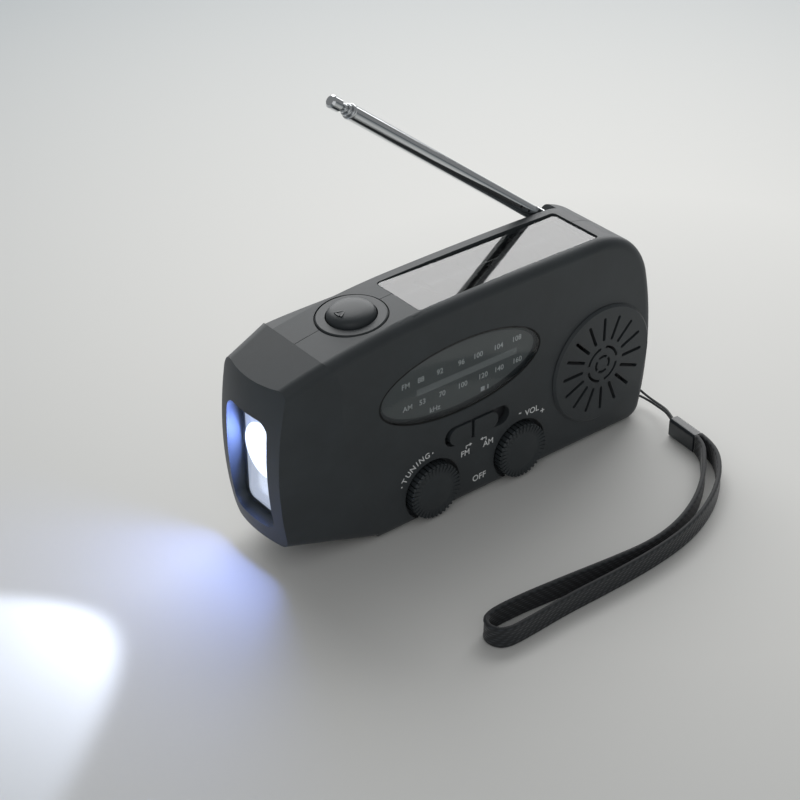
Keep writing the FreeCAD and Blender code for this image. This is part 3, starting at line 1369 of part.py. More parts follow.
def build():
    """Make every sub-part and write it to its own file."""
    os.makedirs("parts", exist_ok=True)
    outer = case_outer()
    cavity = case_cavity()
    nodes = {
        "front_shell": front_shell(outer, cavity),
        "rear_shell": rear_shell(outer, cavity),
        "torch_head": torch_head(),
        "torch_lens": torch_lens(),
        "torch_reflector": torch_reflector(),
        "torch_led": torch_led(),
        "torch_board": torch_board(),
        "button_ring": button_ring(),
        "torch_button": torch_button(),
        "press_switch": press_switch(),
        "button_board": button_board(),
        "solar_window": solar_window(),
        "solar_cell": solar_cell(),
        "dial_window": dial_window(),
        "dial_plate": dial_plate(),
        "dial_pointer": dial_pointer(),
        "dial_cord": dial_cord(),
        "dial_pulleys": dial_pulleys(),
        "tuning_knob": knob(TUNE_X),
        "tuning_shaft": knob_shaft(TUNE_X, True),
        "tuning_capacitor": behind_board(TUNE_X, CAPACITOR_W, CAPACITOR_H, CAPACITOR_T),
        "volume_knob": knob(VOLUME_X),
        "volume_shaft": knob_shaft(VOLUME_X, False),
        "volume_control": behind_board(VOLUME_X, CONTROL_W, CAPACITOR_H, CONTROL_T),
        "band_switch": band_switch(),
        "band_slider": band_slider(),
        "main_board": main_board(),
        "speaker_frame": speaker_frame(),
        "speaker_cone": speaker_cone(),
        "speaker_magnet": speaker_magnet(),
        "ferrite_rod": rod_x(ROD_Y, ROD_Z, ROD_R, ROD_X0, ROD_X1),
        "aerial_coil": rod_x(ROD_Y, ROD_Z, COIL_R, COIL_X0, COIL_X1).cut(
            rod_x(ROD_Y, ROD_Z, ROD_R, COIL_X0 - 1, COIL_X1 + 1)),
        "battery_pack": battery_pack(),
        "charge_board": charge_board(),
        "charge_socket": charge_socket(),
        "socket_cover": socket_cover(),
        "gear_frame": gear_frame(),
        "frame_screws": frame_screws(),
        "dynamo_stator": dynamo_stator(),
        "dynamo_rotor": dynamo_rotor(),
        "idler_gear": idler_gear(),
        "crank_gear": crank_gear(),
        "crank_shaft": crank_shaft(),
        "crank_arm": crank_arm(),
        "grip_pin": grip_pin(),
        "grip_stem": grip_stem(),
        "crank_grip": crank_grip(),
        "case_screws": case_screws(),
        "antenna_pin": antenna_pin(),
        "antenna_base": antenna_base(),
        "antenna_section_1": antenna_section(1),
        "antenna_section_2": antenna_section(2),
        "antenna_section_3": antenna_section(3),
        "strap_bar": strap_bar(),
        "strap_thread": strap_thread(),
        "strap_clasp": strap_clasp(),
        "strap_band": strap_band(),
    }
    for name, shape in nodes.items():
        if shape.ShapeType != "Compound" or len(shape.Solids) == 1:
            shape = shape.Solids[0] if len(shape.Solids) == 1 else shape
        print(name, shape.ShapeType, "solids", len(shape.Solids), "valid", shape.isValid(),
              "volume", round(shape.Volume, 2))
        shape.exportStep(os.path.join("parts", name + ".step"))


if __name__ == "__main__":
    build()
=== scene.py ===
"""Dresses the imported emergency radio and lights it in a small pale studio."""
import logging
import math
from dataclasses import dataclass
from enum import Enum
from typing import Callable, Iterable, Sequence

import bmesh
import bpy
from mathutils import Matrix, Vector


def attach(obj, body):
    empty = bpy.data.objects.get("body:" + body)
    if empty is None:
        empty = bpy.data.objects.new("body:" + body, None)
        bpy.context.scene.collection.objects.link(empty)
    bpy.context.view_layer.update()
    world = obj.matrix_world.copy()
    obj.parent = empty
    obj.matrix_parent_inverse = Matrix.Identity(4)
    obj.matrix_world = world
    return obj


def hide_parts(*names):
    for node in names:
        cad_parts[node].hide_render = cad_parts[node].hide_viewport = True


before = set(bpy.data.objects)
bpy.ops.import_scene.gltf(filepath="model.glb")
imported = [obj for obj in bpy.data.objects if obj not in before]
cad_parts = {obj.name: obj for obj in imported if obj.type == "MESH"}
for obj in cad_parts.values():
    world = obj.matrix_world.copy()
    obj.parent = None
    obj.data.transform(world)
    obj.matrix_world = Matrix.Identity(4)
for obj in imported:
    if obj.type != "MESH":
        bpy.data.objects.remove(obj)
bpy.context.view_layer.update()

MM = 0.001
ROOT = "radio"
# Height of printed ink and thickness of foils, in millimetres.
INK_T = 0.03
PLATE_T = 0.03
# How much bolder the words print, as a share of their size.
INK_BOLD = 0.012
# Bands of a wave texture at scale 1 repeat at this distance.
WAVE_PITCH = 0.314
LOG = logging.getLogger("emergency_radio")
Shaper = Callable[[bmesh.types.BMesh], None]


class Hue(Enum):
    """Colours of the real finishes, as sRGB hex."""

    CASE = "#33383b"
    CASE_DUST = "#3d4346"
    CONTROL = "#303538"
    CONTROL_DUST = "#3a4043"
    PRINT = "#eef0f0"
    # Painted shade of the dark gap round the dial window.
    PAINTED_GAP_SHADE = "#0b0d0e"
    DIAL = "#5b6061"
    DIAL_BAND = "#a2a7a8"
    DIAL_PRINT = "#c3c7c8"
    POINTER = "#e9ecec"
    CELL = "#20262c"
    CELL_LINE = "#8b9196"
    STEEL = "#b3b6b8"
    CHROME = "#d0d3d5"
    LAMINATE = "#1f5a38"
    COPPER = "#b4683a"
    GEAR = "#d8d5ca"
    MAGNET = "#2c2d30"
    SLEEVE = "#2c6b4a"
    RUBBER = "#26282a"
    WEAVE = "#1d2023"
    WEAVE_LIGHT = "#3a3f43"
    CLASP = "#2e3236"
    LAMP = "#dfe9ff"
    LAMP_HAZE = "#7f9cff"
    CELL_TINT = "#5a4640"
    FLOOR = "#e6e6e3"
    # Painted shade at the floor's far edges, where the light falls off.
    FLOOR_PAINTED_SHADE = "#8f969a"


class Lay(Enum):
    """Which surface a printed mark lies on."""

    FRONT = -13.6
    DIAL = -12.56


def linear(hue: Hue) -> tuple[float, float, float, float]:
    """Turns a named colour to linear values.

    Args:
        hue: The colour.

    Returns:
        Red, green, blue and alpha for a shader socket.
    """
    code = hue.value.lstrip("#")
    shares = [int(code[i:i + 2], 16) / 255 for i in (0, 2, 4)]
    low = [s / 12.92 if s <= 0.04045 else ((s + 0.055) / 1.055) ** 2.4 for s in shares]
    return (low[0], low[1], low[2], 1.0)


def mm(x: float, y: float, z: float) -> Vector:
    """Returns a point given in millimetres as a vector in metres."""
    return Vector((x * MM, y * MM, z * MM))


def add(tree: bpy.types.NodeTree, kind: str, links: dict | None = None,
        **settings: object) -> bpy.types.Node:
    """Adds one node with its settings and links.

    Args:
        tree: The tree that gets the node.
        kind: The node's type name.
        links: Input name or index to a socket or a plain value.
        **settings: Attributes of the node.

    Returns:
        The new node.
    """
    node = tree.nodes.new(kind)
    for name, value in settings.items():
        setattr(node, name, value)
    for name, value in (links or {}).items():
        if isinstance(value, bpy.types.NodeSocket):
            tree.links.new(value, node.inputs[name])
        else:
            node.inputs[name].default_value = value
    return node


def blank(name: str) -> tuple[bpy.types.Material, bpy.types.NodeTree, bpy.types.Node]:
    """Makes a material with an output node alone.

    Args:
        name: The material's name.

    Returns:
        The material, its tree and its output node.
    """
    material = bpy.data.materials.new(name)
    material.use_nodes = True
    tree = material.node_tree
    tree.nodes.clear()
    return material, tree, add(tree, "ShaderNodeOutputMaterial")


def sized(place: bpy.types.Node, size_mm: float, **more: float) -> dict[str, object]:
    """Gives a pattern its real size.

    Args:
        place: The coordinate node.
        size_mm: Size of one grain of the pattern, in millimetres.
        **more: The pattern's other inputs.

    Returns:
        The pattern's inputs.
    """
    return {"Vector": place.outputs["Object"], "Scale": 1 / (size_mm * MM), **more}


def shade(ramp: bpy.types.Node, hues: tuple[Hue, Hue], ends: tuple[float, float] = (0.0, 1.0)) -> None:
    """Sets the two ends of a colour ramp.

    Args:
        ramp: The ramp's node.
        hues: Its first and its last colour.
        ends: Where each of them stands.
    """
    for stop, hue, end in zip(ramp.color_ramp.elements, hues, ends):
        stop.position = end
        stop.color = linear(hue)


@dataclass(frozen=True)
class MouldedPlastic:
    """ABS or nylon moulding: an even colour broken by spark-eroded grain and a trace of dust."""

    name: str
    colour: Hue
    dust: Hue
    grain_mm: float = 0.35
    depth_mm: float = 0.02
    cloud_mm: float = 14.0
    roughness: float = 0.5
    sheen: float = 0.0

    def build(self) -> bpy.types.Material:
        """Builds the shader.

        Returns:
            The finished material.
        """
        material, tree, out = blank(self.name)
        place = add(tree, "ShaderNodeTexCoord")
        grain = add(tree, "ShaderNodeTexNoise", sized(place, self.grain_mm, Detail=3.0))
        cloud = add(tree, "ShaderNodeTexNoise", sized(place, self.cloud_mm, Detail=5.0, Roughness=0.6))
        tint = add(tree, "ShaderNodeValToRGB", {"Fac": cloud.outputs["Fac"]})
        shade(tint, (self.colour, self.dust), (0.35, 0.8))
        rough = add(tree, "ShaderNodeMapRange", {
            "Value": cloud.outputs["Fac"], "To Min": self.roughness - 0.04,
            "To Max": self.roughness + 0.06})
        bump = add(tree, "ShaderNodeBump", {"Height": grain.outputs["Fac"], "Strength": 0.5,
                                            "Distance": self.depth_mm * MM})
        skin = add(tree, "ShaderNodeBsdfPrincipled", {
            "Base Color": tint.outputs["Color"], "Roughness": rough.outputs["Result"],
            "Normal": bump.outputs["Normal"], "Sheen Weight": self.sheen, "Sheen Roughness": 0.4,
            "Specular IOR Level": 0.5, "IOR": 1.5})
        tree.links.new(skin.outputs["BSDF"], out.inputs["Surface"])
        return material


@dataclass(frozen=True)
class Metal:
    """Drawn, plated or pressed metal with fine marks left by the tool, or with a painted glow that
    stands in for the light of the lamp inside it.
    """

    name: str
    colour: Hue
    roughness: float = 0.2
    mark_mm: float = 0.25
    smear_mm: float = 5.0
    depth_mm: float = 0.002
    # Strength of a painted glow: emission in the lamp's colour standing in for the lamp's light on the
    # metal.
    lit: float = 0.0

    def build(self) -> bpy.types.Material:
        """Builds the shader.

        Returns:
            The finished material.
        """
        material, tree, out = blank(self.name)
        place = add(tree, "ShaderNodeTexCoord")
        marks = add(tree, "ShaderNodeTexNoise", sized(place, self.mark_mm, Detail=2.0))
        smear = add(tree, "ShaderNodeTexNoise", sized(place, self.smear_mm))
        rough = add(tree, "ShaderNodeMapRange", {
            "Value": smear.outputs["Fac"], "To Min": self.roughness * 0.7,
            "To Max": self.roughness * 1.4})
        bump = add(tree, "ShaderNodeBump", {"Height": marks.outputs["Fac"], "Strength": 0.3,
                                            "Distance": self.depth_mm * MM})
        skin = add(tree, "ShaderNodeBsdfPrincipled", {
            "Base Color": linear(self.colour), "Metallic": 1.0, "Roughness": rough.outputs["Result"],
            "Normal": bump.outputs["Normal"], "Emission Color": linear(Hue.LAMP),
            "Emission Strength": self.lit})
        tree.links.new(skin.outputs["BSDF"], out.inputs["Surface"])
        return material


@dataclass(frozen=True)
class FrostedStrip:
    """Frosted clear strip in the printed dial: the pointer behind it shows as a soft pale spot."""

    name: str
    colour: Hue
    haze: float = 0.55
    frost_mm: float = 0.5

    def build(self) -> bpy.types.Material:
        """Builds the shader.

        Returns:
            The finished material.
        """
        material, tree, out = blank(self.name)
        place = add(tree, "ShaderNodeTexCoord")
        frost = add(tree, "ShaderNodeTexNoise", sized(place, self.frost_mm))
        level = add(tree, "ShaderNodeMapRange", {
            "Value": frost.outputs["Fac"], "To Min": self.haze - 0.08, "To Max": self.haze + 0.08})
        through = add(tree, "ShaderNodeBsdfTransparent")
        skin = add(tree, "ShaderNodeBsdfPrincipled", {"Base Color": linear(self.colour),
                                                      "Roughness": 0.6})
        both = add(tree, "ShaderNodeMixShader", {0: level.outputs["Result"], 1: through.outputs["BSDF"],
                                                 2: skin.outputs["BSDF"]})
        tree.links.new(both.outputs["Shader"], out.inputs["Surface"])
        return material


@dataclass(frozen=True)
class ClearPlastic:
    """Polished acrylic sheet: nearly invisible face on, a mirror at a low angle."""

    name: str
    roughness: float = 0.03
    gloss: float = 1.45
    base: float = 0.0
    wave_mm: float = 18.0

    def build(self) -> bpy.types.Material:
        """Builds the shader.

        Returns:
            The finished material.
        """
        material, tree, out = blank(self.name)
        place = add(tree, "ShaderNodeTexCoord")
        wave = add(tree, "ShaderNodeTexNoise", sized(place, self.wave_mm))
        bump = add(tree, "ShaderNodeBump", {"Height": wave.outputs["Fac"], "Strength": 0.25,
                                            "Distance": 0.05 * MM})
        through = add(tree, "ShaderNodeBsdfTransparent", {"Color": (0.96, 0.97, 0.97, 1.0)})
        shine = add(tree, "ShaderNodeBsdfAnisotropic", {
            "Color": (1.0, 1.0, 1.0, 1.0), "Roughness": self.roughness,
            "Normal": bump.outputs["Normal"]})
        edge = add(tree, "ShaderNodeFresnel", {"IOR": self.gloss})
        # The sheet's back face would turn all light back inside, so only its front face mirrors.
        side = add(tree, "ShaderNodeNewGeometry")
        outer = add(tree, "ShaderNodeMath", {0: 1.0, 1: side.outputs["Backfacing"]},
                    operation="SUBTRACT")
        more = add(tree, "ShaderNodeMath", {0: edge.outputs["Fac"], 1: self.base}, operation="ADD")
        share = add(tree, "ShaderNodeMath", {0: more.outputs["Value"], 1: outer.outputs["Value"]},
                    operation="MULTIPLY")
        both = add(tree, "ShaderNodeMixShader", {0: share.outputs["Value"], 1: through.outputs["BSDF"],
                                                 2: shine.outputs["BSDF"]})
        tree.links.new(both.outputs["Shader"], out.inputs["Surface"])
        return material


@dataclass(frozen=True)
class Glow:
    """Lit epoxy of the lamp: white in the middle, fainter towards its rim."""

    name: str
    colour: Hue
    strength: float

    def build(self) -> bpy.types.Material:
        """Builds the shader.

        Returns:
            The finished material.
        """
        material, tree, out = blank(self.name)
        edge = add(tree, "ShaderNodeLayerWeight", {"Blend": 0.4})
        power = add(tree, "ShaderNodeMapRange", {
            "Value": edge.outputs["Facing"], "To Min": self.strength, "To Max": self.strength * 0.4})
        shine = add(tree, "ShaderNodeEmission", {"Color": linear(self.colour),
                                                 "Strength": power.outputs["Result"]})
        tree.links.new(shine.outputs["Emission"], out.inputs["Surface"])
        return material


@dataclass(frozen=True)
class SolarCell:
    """Thin-film cell: a dark plate with fine silver lines across it, browner towards one end."""

    name: str
    pitch_mm: float = 6.6
    line_share: float = 0.035
    film_mm: float = 9.0
    brown_mm: tuple[float, float] = (-18.0, -4.0)
    brown_share: float = 0.8

    def build(self) -> bpy.types.Material:
        """Builds the shader.

        Returns:
            The finished material.
        """
        material, tree, out = blank(self.name)
        place = add(tree, "ShaderNodeTexCoord")
        axes = add(tree, "ShaderNodeSeparateXYZ", {"Vector": place.outputs["Object"]})
        step = add(tree, "ShaderNodeMath", {0: axes.outputs["X"], 1: self.pitch_mm * MM},
                   operation="DIVIDE")
        part = add(tree, "ShaderNodeMath", {0: step.outputs["Value"]}, operation="FRACT")
        line = add(tree, "ShaderNodeMath", {0: part.outputs["Value"], 1: self.line_share},
                   operation="LESS_THAN")
        film = add(tree, "ShaderNodeTexNoise", sized(place, self.film_mm, Detail=4.0))
        tint = add(tree, "ShaderNodeValToRGB", {"Fac": film.outputs["Fac"]})
        shade(tint, (Hue.CELL, Hue.CASE_DUST))
        fade = add(tree, "ShaderNodeMapRange", {
            "Value": axes.outputs["X"], "From Min": self.brown_mm[0] * MM,
            "From Max": self.brown_mm[1] * MM, "To Min": self.brown_share, "To Max": 0.0})
        warm = add(tree, "ShaderNodeMixRGB", {
            "Fac": fade.outputs["Result"], "Color1": tint.outputs["Color"],
            "Color2": linear(Hue.CELL_TINT)})
        mix = add(tree, "ShaderNodeMixRGB", {
            "Fac": line.outputs["Value"], "Color1": warm.outputs["Color"],
            "Color2": linear(Hue.CELL_LINE)})
        skin = add(tree, "ShaderNodeBsdfPrincipled", {
            "Base Color": mix.outputs["Color"], "Roughness": 0.25, "Coat Weight": 0.3})
        tree.links.new(skin.outputs["BSDF"], out.inputs["Surface"])
        return material


@dataclass(frozen=True)
class Weave:
    """Woven polyester tape: cross threads over long ones, drawn on the strip's map in millimetres."""

    name: str
    along_mm: float = 1.1
    across_mm: float = 0.75

    def build(self) -> bpy.types.Material:
        """Builds the shader.

        Returns:
            The finished material.
        """
        material, tree, out = blank(self.name)
        place = add(tree, "ShaderNodeUVMap", uv_map="strip")
        long, cross = [
            add(tree, "ShaderNodeTexWave", {
                "Vector": place.outputs["UV"], "Scale": WAVE_PITCH / thread, "Distortion": 0.6,
                "Detail": 1.0}, wave_type="BANDS", bands_direction=way)
            for thread, way in ((self.across_mm, "Y"), (self.along_mm, "DIAGONAL"))]
        knit = add(tree, "ShaderNodeMath", {0: long.outputs["Fac"], 1: cross.outputs["Fac"]},
                   operation="MULTIPLY")
        tint = add(tree, "ShaderNodeValToRGB", {"Fac": knit.outputs["Value"]})
        shade(tint, (Hue.WEAVE, Hue.WEAVE_LIGHT))
        bump = add(tree, "ShaderNodeBump", {"Height": knit.outputs["Value"], "Strength": 0.8,
                                            "Distance": 0.12 * MM})
        skin = add(tree, "ShaderNodeBsdfPrincipled", {
            "Base Color": tint.outputs["Color"], "Roughness": 0.7, "Normal": bump.outputs["Normal"],
            "Sheen Weight": 0.25, "Sheen Roughness": 0.4})
        tree.links.new(skin.outputs["BSDF"], out.inputs["Surface"])
        return material


@dataclass(frozen=True)
class Ink:
    """Pad-printed ink: flat, slightly uneven where the pad left it thin."""

    name: str
    colour: Hue
    thin_mm: float = 0.8

    def build(self) -> bpy.types.Material:
        """Builds the shader.

        Returns:
            The finished material.
        """
        material, tree, out = blank(self.name)
        place = add(tree, "ShaderNodeTexCoord")
        thin = add(tree, "ShaderNodeTexNoise", sized(place, self.thin_mm))
        level = add(tree, "ShaderNodeMapRange", {"Value": thin.outputs["Fac"], "To Min": 0.45,
                                                 "To Max": 0.7})
        skin = add(tree, "ShaderNodeBsdfPrincipled", {"Base Color": linear(self.colour),
                                                      "Roughness": level.outputs["Result"]})
        tree.links.new(skin.outputs["BSDF"], out.inputs["Surface"])
        return material


def dress(nodes: Iterable[str], material: bpy.types.Material) -> None:
    """Gives CAD nodes a finish.

    Args:
        nodes: The nodes' names.
        material: The finish.
    """
    for name in nodes:
        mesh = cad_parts[name].data
        mesh.materials.clear()
        mesh.materials.append(material)


def piece(name: str, shaper: Shaper, material: bpy.types.Material, body: str = ROOT,
          place: Matrix | None = None, smooth: bool = True) -> bpy.types.Object:
    """Makes a piece from a bmesh and lets it ride on a body.

    Args:
        name: The piece's name.
        shaper: Fills the bmesh, in metres.
        material: The piece's finish.
        body: The CAD body that carries it.
        place: Turns and moves the mesh to its place.
        smooth: Whether its faces are shaded smooth.

    Returns:
        The new object.
    """
    work = bmesh.new()
    shaper(work)
    if place is not None:
        bmesh.ops.transform(work, matrix=place, verts=work.verts)
    bmesh.ops.remove_doubles(work, verts=work.verts, dist=1e-7)
    bmesh.ops.recalc_face_normals(work, faces=work.faces)
    for face in work.faces:
        face.smooth = smooth
    mesh = bpy.data.meshes.new(name)
    work.to_mesh(mesh)
    work.free()
    mesh.materials.append(material)
    return settle(bpy.data.objects.new(name, mesh), body)


def settle(obj: bpy.types.Object, body: str = ROOT) -> bpy.types.Object:
    """Links an object and lets it ride.

    Args:
        obj: The finished piece.
        body: The CAD body that carries it.

    Returns:
        The same object.
    """
    bpy.context.scene.collection.objects.link(obj)
    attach(obj, body)
    LOG.info("%s rides on %s", obj.name, body)
    return obj


def put(name: str, data: bpy.types.ID, spot: Matrix | None = None) -> bpy.types.Object:
    """Adds a lamp, a camera or the floor to the scene.

    Args:
        name: The object's name.
        data: Its data.
        spot: Where it stands, or None for the origin.

    Returns:
        The new object.
    """
    obj = bpy.data.objects.new(name, data)
    if spot is not None:
        obj.matrix_world = spot
    bpy.context.scene.collection.objects.link(obj)
    return obj


def bar(work: bmesh.types.BMesh, middle: Vector, size: Vector, turn: float = 0.0) -> None:
    """Adds a small block.

    Args:
        work: The bmesh to fill.
        middle: The block's middle.
        size: Its lengths along X, Y and Z.
        turn: How far it turns about Z, in radians.
    """
    made = bmesh.ops.create_cube(work, size=1.0)
    bmesh.ops.scale(work, vec=size, verts=made["verts"])
    bmesh.ops.rotate(work, matrix=Matrix.Rotation(turn, 3, "Z"), verts=made["verts"])
    bmesh.ops.translate(work, vec=middle, verts=made["verts"])


def spun(work: bmesh.types.BMesh, profile: Sequence[Vector], centre: Vector, axis: Vector,
         steps: int) -> None:
    """Spins an open outline once round an axis.

    Args:
        work: The bmesh to fill.
        profile: Points of the outline, in metres.
        centre: A point on the axis.
        axis: The axis.
        steps: Facets round the turn.
    """
    verts = [work.verts.new(p) for p in profile]
    edges = [work.edges.new(pair) for pair in zip(verts, verts[1:])]
    bmesh.ops.spin(work, geom=verts + edges, cent=centre, axis=axis, angle=math.tau, steps=steps,
                   use_merge=True)


@dataclass(frozen=True)
class Mark:
    """One printed word, with the middle of the word in the plane that it lies in."""

    text: str
    x: float
    z: float
    size: float = 2.2
    turn: float = 0.0


def glyphs(work: bmesh.types.BMesh, marks: Sequence[Mark], lay: Lay) -> None:
    """Adds printed words to a bmesh as thin raised ink.

    Args:
        work: The bmesh to fill.
        marks: The words.
        lay: The surface that they lie on.
    """
    upright = Matrix.Rotation(math.pi / 2, 4, "X")
    for mark in marks:
        curve = bpy.data.curves.new("glyph", "FONT")
        curve.body = mark.text
        curve.size = mark.size * MM
        curve.align_x = "CENTER"
        curve.align_y = "CENTER"
        curve.extrude = INK_T * MM / 2
        curve.offset = mark.size * MM * INK_BOLD
        curve.resolution_u = 3
        holder = bpy.data.objects.new("glyph", curve)
        mesh = bpy.data.meshes.new_from_object(holder)
        spot = Matrix.Translation(mm(mark.x, lay.value - INK_T / 2, mark.z))
        mesh.transform(spot @ Matrix.Rotation(-math.radians(mark.turn), 4, "Y") @ upright)
        work.from_mesh(mesh)
        bpy.data.objects.remove(holder)
        bpy.data.curves.remove(curve)
        bpy.data.meshes.remove(mesh)


@dataclass
class Inside:
    """Finishes of the pieces behind the shells, and of the small metal parts that show outside."""

    def build(self) -> None:
        """Dresses the nodes."""
        # Pressed and turned steel, tumbled: a grey shine without sharp reflections.
        dress(("speaker_frame", "charge_socket", "gear_frame", "frame_screws", "dynamo_stator",
               "crank_shaft", "grip_pin", "grip_stem", "case_screws", "antenna_pin", "strap_bar"),
              Metal("pressed_steel", Hue.STEEL, 0.35).build())
        # Glass laminate under green lacquer: a flat green with a slight gloss.
        dress(("torch_board", "button_board", "main_board", "charge_board"),
              MouldedPlastic("lacquered_laminate", Hue.LAMINATE, Hue.LAMINATE, roughness=0.35).build())
        # Natural acetal straight from the mould: milky white with a soft sheen.
        dress(("dial_pulleys", "tuning_shaft", "volume_shaft", "idler_gear", "crank_gear"),
              MouldedPlastic("natural_acetal", Hue.GEAR, Hue.GEAR, roughness=0.4).build())
        # Moulded phenolic: near-black and dull.
        dress(("press_switch", "tuning_capacitor", "volume_control", "band_switch"),
              MouldedPlastic("dark_phenolic", Hue.MAGNET, Hue.CASE, roughness=0.5).build())
        # Sintered ferrite: charcoal grey and matt.
        dress(("speaker_magnet", "ferrite_rod", "dynamo_rotor"),
              MouldedPlastic("sintered_ferrite", Hue.MAGNET, Hue.CASE, roughness=0.6).build())
        # Paper pulp and braided thread dyed black: matt, so that the grille's slots stay dark.
        dress(("dial_cord", "speaker_cone"),
              MouldedPlastic("dyed_fibre", Hue.MAGNET, Hue.CASE, roughness=0.6).build())
        # Wound copper wire under clear enamel: a warm brown shine.
        dress(("aerial_coil",), Metal("enamelled_copper", Hue.COPPER, 0.3).build())
        # Shrunk vinyl film: smooth green with a tight highlight.
        dress(("battery_pack",),
              MouldedPlastic("shrink_sleeve", Hue.SLEEVE, Hue.SLEEVE, roughness=0.25).build())


@dataclass
class Case:
    """The two shells, the torch head, the crank and everything printed on the front."""

    arc_r: float = 11.3
    dot_lift: float = 1.0
    knobs: tuple[tuple[str, float], ...] = (("tuning", -16.0), ("volume", 14.2))
    knob_z: float = 8.7
    knob_face_y: float = -15.4
    rib_count: int = 36
    rib_span: tuple[float, float] = (5.5, 7.8)
    rib_section: tuple[float, float] = (0.7, 0.62)
    rib_sink: float = 0.3
    rib_back: float = 0.05
    rib_bevel: float = 0.12
    button_at: tuple[float, float, float] = (-31.5, -0.4, 61.33)
    button_tilt: float = -5.99
    sign_z: float = 2.2
    cap_outline: tuple[tuple[float, float], ...] = (
        (6.4, -3.2), (6.4, -0.4), (6.32, 0.5), (6.08, 1.15), (5.6, 1.65), (4.85, 2.02),
        (3.7, 2.28), (2.2, 2.42), (0.9, 2.46), (0.0, 2.47))
    marks: tuple[Mark, ...] = (
        Mark("FM", -4.9, 15.3, 2.5), Mark("AM", 3.1, 15.4, 2.5), Mark("OFF", 0.1, 5.5, 2.7),
        Mark("-", 14.2, 20.3, 3.0), Mark("VOL", 18.5, 19.2, 2.6), Mark("+", 22.3, 17.6, 2.8))

    def build(self) -> None:
        """Dresses the nodes, prints the front and adds the knobs' ribs and the button's cap."""
        # Soft-touch lacquer on moulded ABS: dull and even, with a faint bloom at a low angle.
        soft = MouldedPlastic("soft_touch_abs", Hue.CASE, Hue.CASE_DUST, grain_mm=0.3,
                              depth_mm=0.03, roughness=0.52, sheen=0.12).build()
        # Bare moulded ABS: a little darker and glossier than the case, its grain in the highlight.
        control = MouldedPlastic("moulded_abs", Hue.CONTROL, Hue.CONTROL_DUST, grain_mm=0.4,
                                 depth_mm=0.02, roughness=0.45).build()
        # Moulded rubber: the flattest black of the case.
        rubber = MouldedPlastic("moulded_rubber", Hue.RUBBER, Hue.CASE, roughness=0.7).build()
        # White pad-printing ink: crisp and nearly flat.
        ink = Ink("pad_print", Hue.PRINT).build()
        dress(("front_shell", "rear_shell", "torch_head"), soft)
        dress(("button_ring", "torch_button", "tuning_knob", "volume_knob", "band_slider",
               "crank_arm", "crank_grip"), control)
        dress(("socket_cover",), rubber)
        piece("front_print", self.front_print, ink, smooth=False)
        tilt = Matrix.Rotation(math.radians(self.button_tilt), 4, "Y")
        top = Matrix.Translation(mm(*self.button_at)) @ tilt
        cap = piece("button_cap", self.cap, control, "button", top)
        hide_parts("torch_button")
        piece("button_symbol", self.symbol, control, "button", top, smooth=False)
        for body, x in self.knobs:
            face = Matrix.Translation(mm(x, self.knob_face_y, self.knob_z))
            piece(body + "_ribs", self.ribs, control, body, face, smooth=False)

    def tuning_arc(self) -> list[Mark]:
        """Sets the letters round the tuning knob.

        Returns:
            One mark for each letter and for the dot at each end.
        """
        letters = [(154, "."), (145, "T"), (135, "U"), (125.5, "N"), (117, "I"), (109, "N"),
                   (99, "G"), (90, ".")]
        knob_x = self.knobs[0][1]
        marks = []
        for angle, letter in letters:
            size, lift = (3.4, self.dot_lift) if letter == "." else (2.4, 0.0)
            a = math.radians(angle)
            r = self.arc_r + lift
            marks.append(Mark(letter, knob_x + r * math.cos(a), self.knob_z + r * math.sin(a), size,
                              angle - 90))
        return marks

    def front_print(self, work: bmesh.types.BMesh) -> None:
        """Prints the words and arrows of the front.

        Args:
            work: The bmesh to fill.
        """
        glyphs(work, list(self.marks) + self.tuning_arc(), Lay.FRONT)
        for x, side in ((-4.6, 1), (2.3, -1)):
            self.arrow(work, x, 17.5, side)

    @staticmethod
    def arrow(work: bmesh.types.BMesh, x: float, z: float, side: int) -> None:
        """Adds a bent arrow that points along X.

        Args:
            work: The bmesh to fill.
            x: Foot of the arrow.
            z: Height of its shaft.
            side: 1 to point right, -1 to point left.
        """
        for cx, cz, wide, high in ((x, z - 0.45, 0.3, 1.0), (x + side * 0.55, z, 1.3, 0.3)):
            bar(work, mm(cx, Lay.FRONT.value - INK_T / 2, cz), mm(wide, INK_T, high))
        head = bmesh.ops.create_circle(work, cap_ends=True, segments=3, radius=0.62 * MM)
        turn = Matrix.Rotation(math.pi / 2, 4, "X") @ Matrix.Rotation(-side * math.pi / 2, 4, "Z")
        spot = Matrix.Translation(mm(x + side * 1.45, Lay.FRONT.value - INK_T, z))
        bmesh.ops.transform(work, matrix=spot @ turn, verts=head["verts"])

    def cap(self, work: bmesh.types.BMesh) -> None:
        """Spins the domed button cap about its own centre.

        Args:
            work: The bmesh to fill.
        """
        outline = [mm(r, 0, z) for r, z in self.cap_outline]
        spun(work, outline, Vector((0, 0, 0)), Vector((0, 0, 1)), 72)

    def ribs(self, work: bmesh.types.BMesh) -> None:
        """Sets the ribs round a knob's face, about the middle of the face.

        Args:
            work: The bmesh to fill.
        """
        inner, outer = self.rib_span
        deep, wide = self.rib_section
        for i in range(self.rib_count):
            made = bmesh.ops.create_cube(work, size=1.0)
            bmesh.ops.scale(work, vec=mm(outer - inner, deep, wide), verts=made["verts"])
            near = [v for v in made["verts"] if v.co.x < 0 and v.co.y < 0]
            bmesh.ops.translate(work, vec=mm(0, self.rib_sink, 0), verts=near)
            bmesh.ops.translate(work, vec=mm((inner + outer) / 2, self.rib_back, 0),
                                verts=made["verts"])
            turn = Matrix.Rotation(math.tau * i / self.rib_count, 3, "Y")
            bmesh.ops.rotate(work, matrix=turn, verts=made["verts"])
        edges = [e for e in work.edges if all(v.co.y < 0 for v in e.verts)]
        bmesh.ops.bevel(work, geom=edges, offset=self.rib_bevel * MM, segments=1, profile=0.5,
                        affect="EDGES", material=-1)

